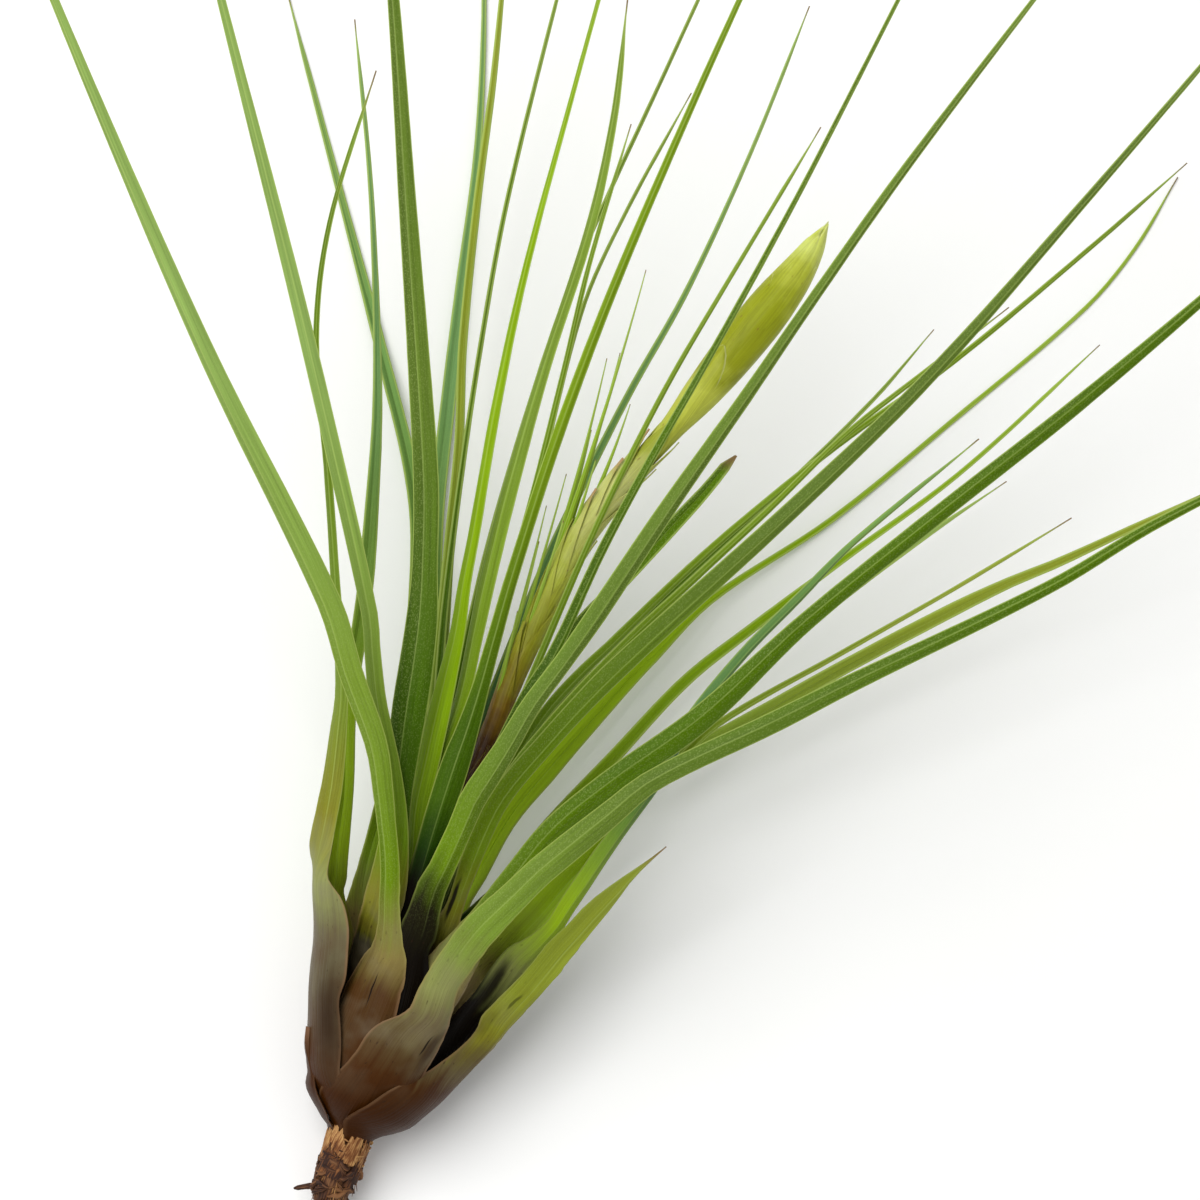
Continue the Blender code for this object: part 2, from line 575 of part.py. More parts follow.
def stem_remnant(start, end, azimuth, material):
    """The torn root of an old leaf, rooted in the stem and standing a little off it."""

    def place(part, side):
        along = start + (end - start) * part
        turn = math.radians(azimuth) + side * REMNANT_WRAP * (1 - 0.6 * part)
        radius = read_line(STEM_OUTLINE, along) + 0.1 + 0.5 * part
        return lay_down(radius * math.cos(turn), along, radius * math.sin(turn))

    obj = add_object("stem remnant", strip_mesh("stem remnant", spread(0, 1, 2), 2, place), material)
    add_thickness(obj, REMNANT_THICK)
    return obj


def root_stub(along, azimuth, length, material):
    turn = math.radians(azimuth)
    outward = Vector((math.cos(turn), -0.5, math.sin(turn))).normalized()
    sideways = Vector((-math.sin(turn), 0, math.cos(turn)))
    upward = outward.cross(sideways)

    def place(part, side):
        centre = Vector((0, along, 0)) + outward * (STUB_SUNK + length * part)
        angle = math.pi * side
        radius = STUB_RADIUS - STUB_TAPER * part
        return lay_down(*(centre + (sideways * math.cos(angle) + upward * math.sin(angle)) * radius))

    return add_object("root stub", strip_mesh("root stub", spread(0, 1, 3), 6, place, closed=True), material)


def make_stem():
    material = make_material("stem", (0.33, 0.20, 0.09), 0.85)
    pieces = [stem_body(material)]
    pieces += [stem_remnant(*remnant, material) for remnant in STEM_REMNANTS]
    pieces += [root_stub(*stub, material) for stub in ROOT_STUBS]
    return fuse("stem", pieces, material)


clear_scene()
make_stem()
for spec in LEAVES:
    make_leaf(*spec)
make_flower_stalk()
make_flower_spike()
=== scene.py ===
import math
import random

import bmesh
import bpy
from mathutils import Matrix, Vector, noise


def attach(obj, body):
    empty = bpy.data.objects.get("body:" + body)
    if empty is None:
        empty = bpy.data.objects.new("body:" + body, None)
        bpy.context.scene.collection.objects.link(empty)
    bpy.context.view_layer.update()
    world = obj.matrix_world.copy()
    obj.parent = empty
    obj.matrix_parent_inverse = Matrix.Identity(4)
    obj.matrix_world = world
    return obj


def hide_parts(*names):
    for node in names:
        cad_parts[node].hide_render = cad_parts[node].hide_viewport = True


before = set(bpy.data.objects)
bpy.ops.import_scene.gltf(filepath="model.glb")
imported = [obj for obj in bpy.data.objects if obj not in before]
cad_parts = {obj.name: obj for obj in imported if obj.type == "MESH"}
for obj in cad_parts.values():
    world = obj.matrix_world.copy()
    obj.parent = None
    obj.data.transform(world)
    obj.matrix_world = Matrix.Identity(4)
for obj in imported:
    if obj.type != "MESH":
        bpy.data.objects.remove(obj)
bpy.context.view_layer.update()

# Stem. The short woody stump that every leaf grows from, dark brown under a tan, stringy bark. It was
# pulled off its old roots, so torn leaf roots, frayed strings of fibre and root stubs still ring it.
MM = 0.001
# How far the plant is tipped up as it lies, and the flat spot under its bulb: how far along the plant it is,
# the bulb's radius there, and how deep the flat goes.
LIE_ANGLE = math.radians(15.5)
SPOT_ALONG = 26.0
SPOT_RADIUS = 17.375
SPOT_DEPTH = 0.5
LIFT = SPOT_RADIUS * math.cos(LIE_ANGLE) - SPOT_ALONG * math.sin(LIE_ANGLE) - SPOT_DEPTH
SET_BACK = SPOT_ALONG * math.cos(LIE_ANGLE) + SPOT_RADIUS * math.sin(LIE_ANGLE)
# The bulb's outline, then the stem's: distance along the plant and the radius there.
BULB_OUTLINE = [(8, 5.4), (9.5, 8.2), (11, 10.2), (14, 12.8), (18, 15), (22, 16.4), (27, 17.7), (34, 18.6),
                (45, 19.4)]
STEM_OUTLINE = [(-9, 3.4), (-4, 4.1), (2, 4.3), (8, 4.5), (10, 4.3), (14, 3.7), (20, 3.2), (30, 2.9),
                (37, 2.4)]
# Each ring of sheaths is this much smaller than the one outside it, and starts this much higher.
RING_STEP = 1.3
RING_RISE = 0.45
# The bark lies this far inside the outline, with ridges this high.
BARK_SINK = 0.15
BARK_RIDGE = 0.3
# Torn leaf roots: start and end along the stem, and azimuth (0 is right, 90 is up).
TORN_ROOTS = [(1, 8, 70), (2, 7.5, 110), (0, 7, 160), (3, 8, 215), (1, 7.5, 265), (2, 8, 320), (0, 7, 20),
              (-3, 2, 95), (-4, 1.5, 45), (-2.5, 3, 135), (-5, 0, 180), (-4, 2, 250), (-5, 0.5, 310),
              (-3, 3, 0)]
TORN_THICK = 0.5
# Root stubs: place along the stem, azimuth and length, then how far out they start.
ROOT_STUBS = [(-6, 30, 6), (-7, 110, 5), (-4, 190, 7), (-6.5, 260, 4.5), (-2, 320, 5)]
STUB_START = 2.2
# Strings: how many there are, and the ranges that the place along the stem, the azimuth, two lengths or
# angles, the thickness and the tint of each one are drawn from.
CRUMPLED_COUNT = 30
CRUMPLED_STRINGS = [(-7, 1), (0, 360), (25, 80), (-3.5, 3.5), (0.3, 0.8), (-0.08, 0.1)]
FRAYED_COUNT = 54
FRAYED_STRINGS = [(-6, 7), (0, 360), (3, 7.5), (-0.6, 1.6), (0.1, 0.22), (-0.14, 0.06)]
WOUND_COUNT = 34
WOUND_STRINGS = [(1.5, 7), (0, 360), (35, 120), (-2, 2), (0.15, 0.45), (-0.12, 0.12)]
# A round shape has no margin and no fold, so its edge and fold values say that both are far off.
NO_MARGIN = (5.0, 9.0)


def read_line(points, where):
    """The value at one place on a smooth line through (place, value) points."""
    if where <= points[0][0]:
        return points[0][1]
    for i in range(len(points) - 1):
        (x0, y0), (x1, y1) = points[i], points[i + 1]
        if where > x1:
            continue
        before = points[i - 1] if i else points[i]
        after = points[i + 2] if i + 2 < len(points) else points[i + 1]
        slope0 = (y1 - before[1]) / (x1 - before[0])
        slope1 = (after[1] - y0) / (after[0] - x0)
        step = x1 - x0
        t = (where - x0) / step
        return (
            y0 * (1 + 2 * t) * (1 - t) ** 2
            + y1 * (3 - 2 * t) * t * t
            + slope0 * step * t * (1 - t) ** 2
            - slope1 * step * (1 - t) * t * t
        )
    return points[-1][1]


def ease(value, low, high):
    """0 below low, 1 above high, and a smooth rise between them."""
    t = min(1.0, max(0.0, (value - low) / (high - low)))
    return t * t * (3 - 2 * t)


def spread(low, high, count):
    return [low + (high - low) * i / count for i in range(count + 1)]


def rough(x, y, z):
    """Smooth noise from about -1 to 1, the same on every run."""
    return noise.noise(Vector((x, y, z)))


def bulb_radius(along, ring):
    return read_line(BULB_OUTLINE, along - ring * RING_RISE) - ring * RING_STEP


def spoke(turn):
    """The direction across the stem at an angle: 0 is right, and a quarter turn is toward the viewer."""
    return Vector((math.cos(turn), 0, math.sin(turn)))


def swing(first, second, turn):
    """The direction at an angle from the first of two square directions to the second."""
    return first * math.cos(turn) + second * math.sin(turn)


def lay_down(point):
    """From the plant's own frame in millimetres (across, along, toward the viewer) to the world's."""
    across, along, toward = point
    y = along * math.cos(LIE_ANGLE) - toward * math.sin(LIE_ANGLE) - SET_BACK
    z = along * math.sin(LIE_ANGLE) + toward * math.cos(LIE_ANGLE) + LIFT
    return Vector((across, y, max(z, 0.0))) * MM


def start_mesh():
    """A bmesh whose skin carries its place in millimetres as UVs, and what a grown skin varies by: edge and
    fold (millimetres from the margin and the fold), part (0 at the root, 1 at the tip), and tint."""
    bm = bmesh.new()
    bm.loops.layers.uv.new("surface")
    for name in ("edge", "fold", "part", "tint"):
        bm.verts.layers.float.new(name)
    bm.verts.layers.deform.verify()
    return bm


def bend_grid(bm, rows, columns, place, tint=0.0, closed=False):
    """Adds a grid of faces and bends it to shape. place(row, side) gives a vertex's point in the plant's
    frame, its place across and along the skin and from the margin and the fold, all in millimetres, its
    part of the length, and its thickness as a share of the blade's. A closed one is a tube, with its ends
    filled."""
    skin = bm.loops.layers.uv["surface"]
    layers = [bm.verts.layers.float[name] for name in ("edge", "fold", "part", "tint")]
    thickness = bm.verts.layers.deform.active
    verts = bmesh.ops.create_grid(bm, x_segments=columns, y_segments=len(rows) - 1, size=0.5)["verts"]
    spots = {}
    for vert in verts:
        row = rows[round((vert.co.y + 0.5) * (len(rows) - 1))]
        side = vert.co.x * 2
        point, across, along, edge, fold, part, share = place(row, side)
        vert.co = lay_down(point)
        for layer, value in zip(layers, (edge, fold, part, tint)):
            vert[layer] = value
        vert[thickness][0] = share
        spots[vert] = (across, along)
    for face in {face for vert in verts for face in vert.link_faces}:
        for loop in face.loops:
            loop[skin].uv = spots[loop.vert]
    if closed:
        bmesh.ops.remove_doubles(bm, verts=verts, dist=0.000001)
        ends = [edge for edge in bm.edges if edge.is_boundary]
        for face in bmesh.ops.holes_fill(bm, edges=ends, sides=0)["faces"]:
            for loop in face.loops:
                loop[skin].uv = (loop.vert.co.x / MM, loop.vert.co.z / MM)


def make_piece(bm, name, material, node, blade=0.0):
    """Makes the object and puts it in the frame. A blade is given its thickness on its inner side, and the
    faces of closed shapes are turned outwards."""
    if not blade:
        bmesh.ops.recalc_face_normals(bm, faces=bm.faces[:])
    mesh = bpy.data.meshes.new(name)
    bm.to_mesh(mesh)
    bm.free()
    mesh.materials.append(material)
    piece = bpy.data.objects.new(name, mesh)
    bpy.context.scene.collection.objects.link(piece)
    piece.vertex_groups.new(name="thickness")
    if blade:
        solidify = piece.modifiers.new("Blade", "SOLIDIFY")
        solidify.thickness = blade * MM
        solidify.offset = -1
        solidify.use_even_offset = False
        solidify.vertex_group = "thickness"
        bpy.context.view_layer.update()
        solid = bpy.data.meshes.new_from_object(piece.evaluated_get(bpy.context.evaluated_depsgraph_get()))
        piece.modifiers.clear()
        piece.data = solid
        bpy.data.meshes.remove(mesh)
        solid.name = name
    piece.data.shade_smooth()
    piece.data.set_sharp_from_angle(angle=math.radians(55))
    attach(piece, "root")
    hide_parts(node)


def colour(hex_rgb):
    """sRGB hex to linear colour."""
    values = [int(hex_rgb[i:i + 2], 16) / 255 for i in (1, 3, 5)]
    return (*[v / 12.92 if v <= 0.04045 else ((v + 0.055) / 1.055) ** 2.4 for v in values], 1.0)


def start_material(name):
    """A new material, its node tree and its surface shader."""
    material = bpy.data.materials.new(name)
    material.use_nodes = True
    return material, material.node_tree, material.node_tree.nodes["Principled BSDF"]


def feed(tree, node, inputs):
    """Gives a node's inputs their values, or links them to an output or to another node's first output."""
    for socket, value in inputs.items():
        if isinstance(value, bpy.types.Node):
            value = value.outputs[0]
        if isinstance(value, bpy.types.NodeSocket):
            tree.links.new(value, node.inputs[socket])
        else:
            node.inputs[socket].default_value = value


def add(tree, kind, inputs=None, stops=None, **settings):
    """Adds a shader node. inputs are fed to it, settings are its properties, and stops are a colour ramp's
    (place, hex colour) pairs."""
    node = tree.nodes.new("ShaderNode" + kind)
    for key, value in settings.items():
        setattr(node, key, value)
    feed(tree, node, inputs or {})
    if stops:
        elements = node.color_ramp.elements
        while len(elements) < len(stops):
            elements.new(1.0)
        for element, (place, hex_rgb) in zip(elements, stops):
            element.position = place
            element.color = colour(hex_rgb)
    return node


def bark_skin(name, dark, tan, pale):
    """Dry bark and bast fibre, grown in strings about 0.35 mm apart along the stem. The strings are painted
    pale where they catch the light and dark in the grooves between them, partly the fibre's own colour and
    partly painted light and shade, with no gloss."""
    material, tree, shader = start_material(name)
    skin = add(tree, "UVMap", uv_map="surface")
    drawn = add(tree, "VectorMath", {0: skin, 1: (2.8, 0.22, 0.0)}, operation="MULTIPLY")
    fibre = add(tree, "TexNoise", {"Vector": drawn, "Scale": 1.0, "Detail": 4.0})
    place = add(tree, "TexCoord").outputs["Object"]
    blotch = add(tree, "TexNoise", {"Vector": place, "Scale": 260.0, "Detail": 3.0})
    tint = add(tree, "Attribute", attribute_name="tint").outputs["Fac"]
    share = add(tree, "Math", {0: fibre, 1: 0.6, 2: tint}, operation="MULTIPLY_ADD")
    mixed = add(tree, "Math", {0: blotch, 1: 0.4, 2: share}, operation="MULTIPLY_ADD")
    ramp = add(tree, "ValToRGB", {"Fac": mixed}, [(0.34, dark), (0.48, tan), (0.62, pale)])
    bump = add(tree, "Bump", {"Strength": 0.8, "Distance": 0.0003, "Height": mixed})
    dull = add(tree, "MapRange", {"Value": fibre, "To Min": 0.9, "To Max": 0.65})
    feed(tree, shader, {"Base Color": ramp, "Normal": bump, "Roughness": dull, "Specular IOR Level": 0.3})
    return material


def stem_wall(along, side):
    turn = math.pi * side
    x, y = math.cos(turn), math.sin(turn)
    ridge = rough(2.6 * x, 2.6 * y, along * 0.12) + 0.6 * rough(6 * x, 6 * y, along * 0.3)
    radius = read_line(STEM_OUTLINE, along) - BARK_SINK + BARK_RIDGE * ridge
    return Vector((radius * x, along, radius * y)), turn * 4, along, *NO_MARGIN, 0.5, 1.0


def torn_root(start, end, azimuth, seed):
    """The place rule of one torn leaf root, a thin scale on the stem that lifts at its ragged end."""

    def place(part, side):
        reach = 1 + 0.4 * part * rough(side * 2.5, seed * 3.1, 0.5)
        along = start + (end - start) * part * reach
        half = math.radians(27 + 16 * rough(seed * 2.3, 0.1, 0.4)) * (1 - 0.45 * part)
        turn = math.radians(azimuth) + side * half + 0.5 * part * rough(seed * 1.9, 0.6, 0.2)
        lift = 0.1 + 0.55 * part + 0.3 * part * rough(side * 3, part * 4, seed)
        radius = read_line(STEM_OUTLINE, along) + lift
        point = Vector((radius * math.cos(turn), along, radius * math.sin(turn)))
        return point, turn * radius, along + 7 * seed, (1 - abs(side)) * 2, 9.0, part, 1.0 - 0.75 * part

    return place


def root_stub(start, azimuth, length, seed):
    """The place rule of one root stub, a crooked peg that leans back and narrows at its broken end."""
    turn = math.radians(azimuth)
    outward = Vector((math.cos(turn), -0.5, math.sin(turn))).normalized()
    sideways = Vector((-math.sin(turn), 0, math.cos(turn)))
    upward = outward.cross(sideways)

    def place(part, side):
        centre = Vector((0, start, 0)) + outward * (STUB_START + length * part)
        centre += sideways * 0.5 * part * rough(part * 2, seed, 0.3)
        angle = math.pi * side
        uneven = rough(2 * math.cos(angle), 2 * math.sin(angle), part * 5 + seed)
        radius = (0.85 - 0.35 * part) * (1 + 0.22 * uneven)
        if part == 1:
            radius *= 0.45
        point = centre + swing(sideways, upward, angle) * radius
        return point, angle, length * part + 5 * seed, *NO_MARGIN, part, 1.0

    return place


def frayed_string(start, azimuth, length, lean, thin, seed):
    """The place rule of one loose string of bark, rooted in the stem, which drops along and away."""
    turn = math.radians(azimuth)
    outward = spoke(turn)
    sideways = Vector((-math.sin(turn), 0, math.cos(turn)))

    def place(part, side):
        along = start - length * part
        stand = read_line(STEM_OUTLINE, max(along, STEM_OUTLINE[0][0])) - 0.2 + lean * part * part
        stray = 0.9 * part * rough(part * 3, seed * 1.7, 0.0)
        centre = outward * stand + sideways * stray + Vector((0, along, 0))
        angle = math.pi * side
        radius = thin * (1 - 0.7 * part)
        point = centre + swing(outward, sideways, angle) * radius
        return point, angle * 0.2, along + seed, *NO_MARGIN, part, 1.0

    return place


def wound_string(start, azimuth, sweep, climb, thick, seed):
    """The place rule of one string of bast that lies wound part of the way round the stem."""

    def place(part, side):
        turn = math.radians(azimuth + sweep * part)
        along = start + climb * part + 0.7 * rough(part * 4, seed * 1.3, 0.7)
        stand = read_line(STEM_OUTLINE, along) + 0.3 + 0.7 * rough(part * 3, 0.2, seed * 1.1)
        angle = math.pi * side
        radius = thick * (1 - 0.75 * abs(2 * part - 1) ** 3)
        point = spoke(turn) * (stand + radius * math.cos(angle))
        point += Vector((0, along + radius * math.sin(angle), 0))
        return point, angle * 0.5, turn * 4 + seed, *NO_MARGIN, part, 1.0

    return place


def add_strings(bm, rule, count, ranges, picker, rows, columns, first_seed=0.0):
    """Adds strings that follow a place rule, with each one's sizes and its tint drawn from the ranges."""
    for number in range(count):
        *sizes, tint = [picker.uniform(low, high) for low, high in ranges]
        bend_grid(bm, rows, columns, rule(*sizes, number + first_seed), tint, closed=True)


bm = start_mesh()
bend_grid(bm, spread(-9, 12, 28) + spread(14, 37, 6), 44, stem_wall, closed=True)
for seed, (start, azimuth, length) in enumerate(ROOT_STUBS):
    bend_grid(bm, spread(0, 1, 8), 12, root_stub(start, azimuth, length, seed), closed=True)
add_strings(bm, wound_string, CRUMPLED_COUNT, CRUMPLED_STRINGS, random.Random(3), spread(0, 1, 8), 7)
make_piece(bm, "stem_bark", bark_skin("Dry stem bark", "#1C0D07", "#432616", "#7A5230"), "stem")

bm = start_mesh()
for seed, (start, end, azimuth) in enumerate(TORN_ROOTS):
    # The lower ones are older and darker.
    tint = (0.02 if start >= 0 else -0.12) + 0.08 * rough(seed * 1.7, 0.4, 0.9)
    bend_grid(bm, spread(0, 1, 8), 10, torn_root(start, end, azimuth, seed), tint)
bast = bark_skin("Dry bast fibre", "#2E170C", "#764721", "#B98D57")
make_piece(bm, "stem_torn_roots", bast, "stem", TORN_THICK)

bm = start_mesh()
picker = random.Random(7)
add_strings(bm, frayed_string, FRAYED_COUNT, FRAYED_STRINGS, picker, spread(0, 1, 5), 4)
add_strings(bm, wound_string, WOUND_COUNT, WOUND_STRINGS, picker, spread(0, 1, 9), 6, 0.5)
make_piece(bm, "stem_frayed_strings", bast, "stem")

# Leaves. Each is one long blade of waxy, fleshy leaf: a broad brown sheath clasps the bulb at its root, and
# above the neck it narrows to a folded, channelled strip that runs out to a thread. They are nested in
# rings, the oldest outside, and each wraps only part of the way round the bulb.
LEAF_THICK = 0.64
LEAF_GAP = 0.3
SHEATH_TOP = 45.0
# A plain sheath keeps its angle at these places along the plant, and draws in to its blade past the last.
SHEATH_LEVELS = [9.5, 12, 15, 18.5, 22, 26, 30.5, 36]
# A sheath closes onto the stem over this length below its ring's start.
ROOT_LENGTH = 2.8
# A sheath's margins press this far in towards the sheath below them.
MARGIN_PRESS = 0.85
CHANNEL_ANGLE = math.radians(24.0)
FOLD_HEIGHT = 0.7
# Past the sheath's top, a leaf's depth from the plant's middle grows by this share for each millimetre.
FAN_RATE = 0.015
# Where along the plant a leaf's sections turn square to its line, its sheath opens into a channel, and its
# blade takes its folded form.
SQUARE_UP = (38, 58)
OPEN_CHANNEL = (48, 85)
FOLDED = (50, 80)
# A blade keeps this share of its sheath's turn to the side. It turns the rest of the way, to face the
# viewer or the floor, between these places along the plant.
BLADE_TURN = 0.35
SIDE_FACE_ROUND = (38, 62)
OTHER_FACE_ROUND = (42, 75)
# A blade narrows to its tip over this length, and no blade is thinner than a thread.
POINT_LENGTH = 16
THREAD_WIDTH = 0.22
# Rows of faces: this far apart in the sheath and the neck, and further apart along the blade past them.
# The leaves of the outer rings have more columns.
CLOSE_ROWS_END = 66
CLOSE_ROW = 1.2
WIDE_ROW = 3.2
OUTER_RINGS = 4
OUTER_COLUMNS = 16
INNER_COLUMNS = 10

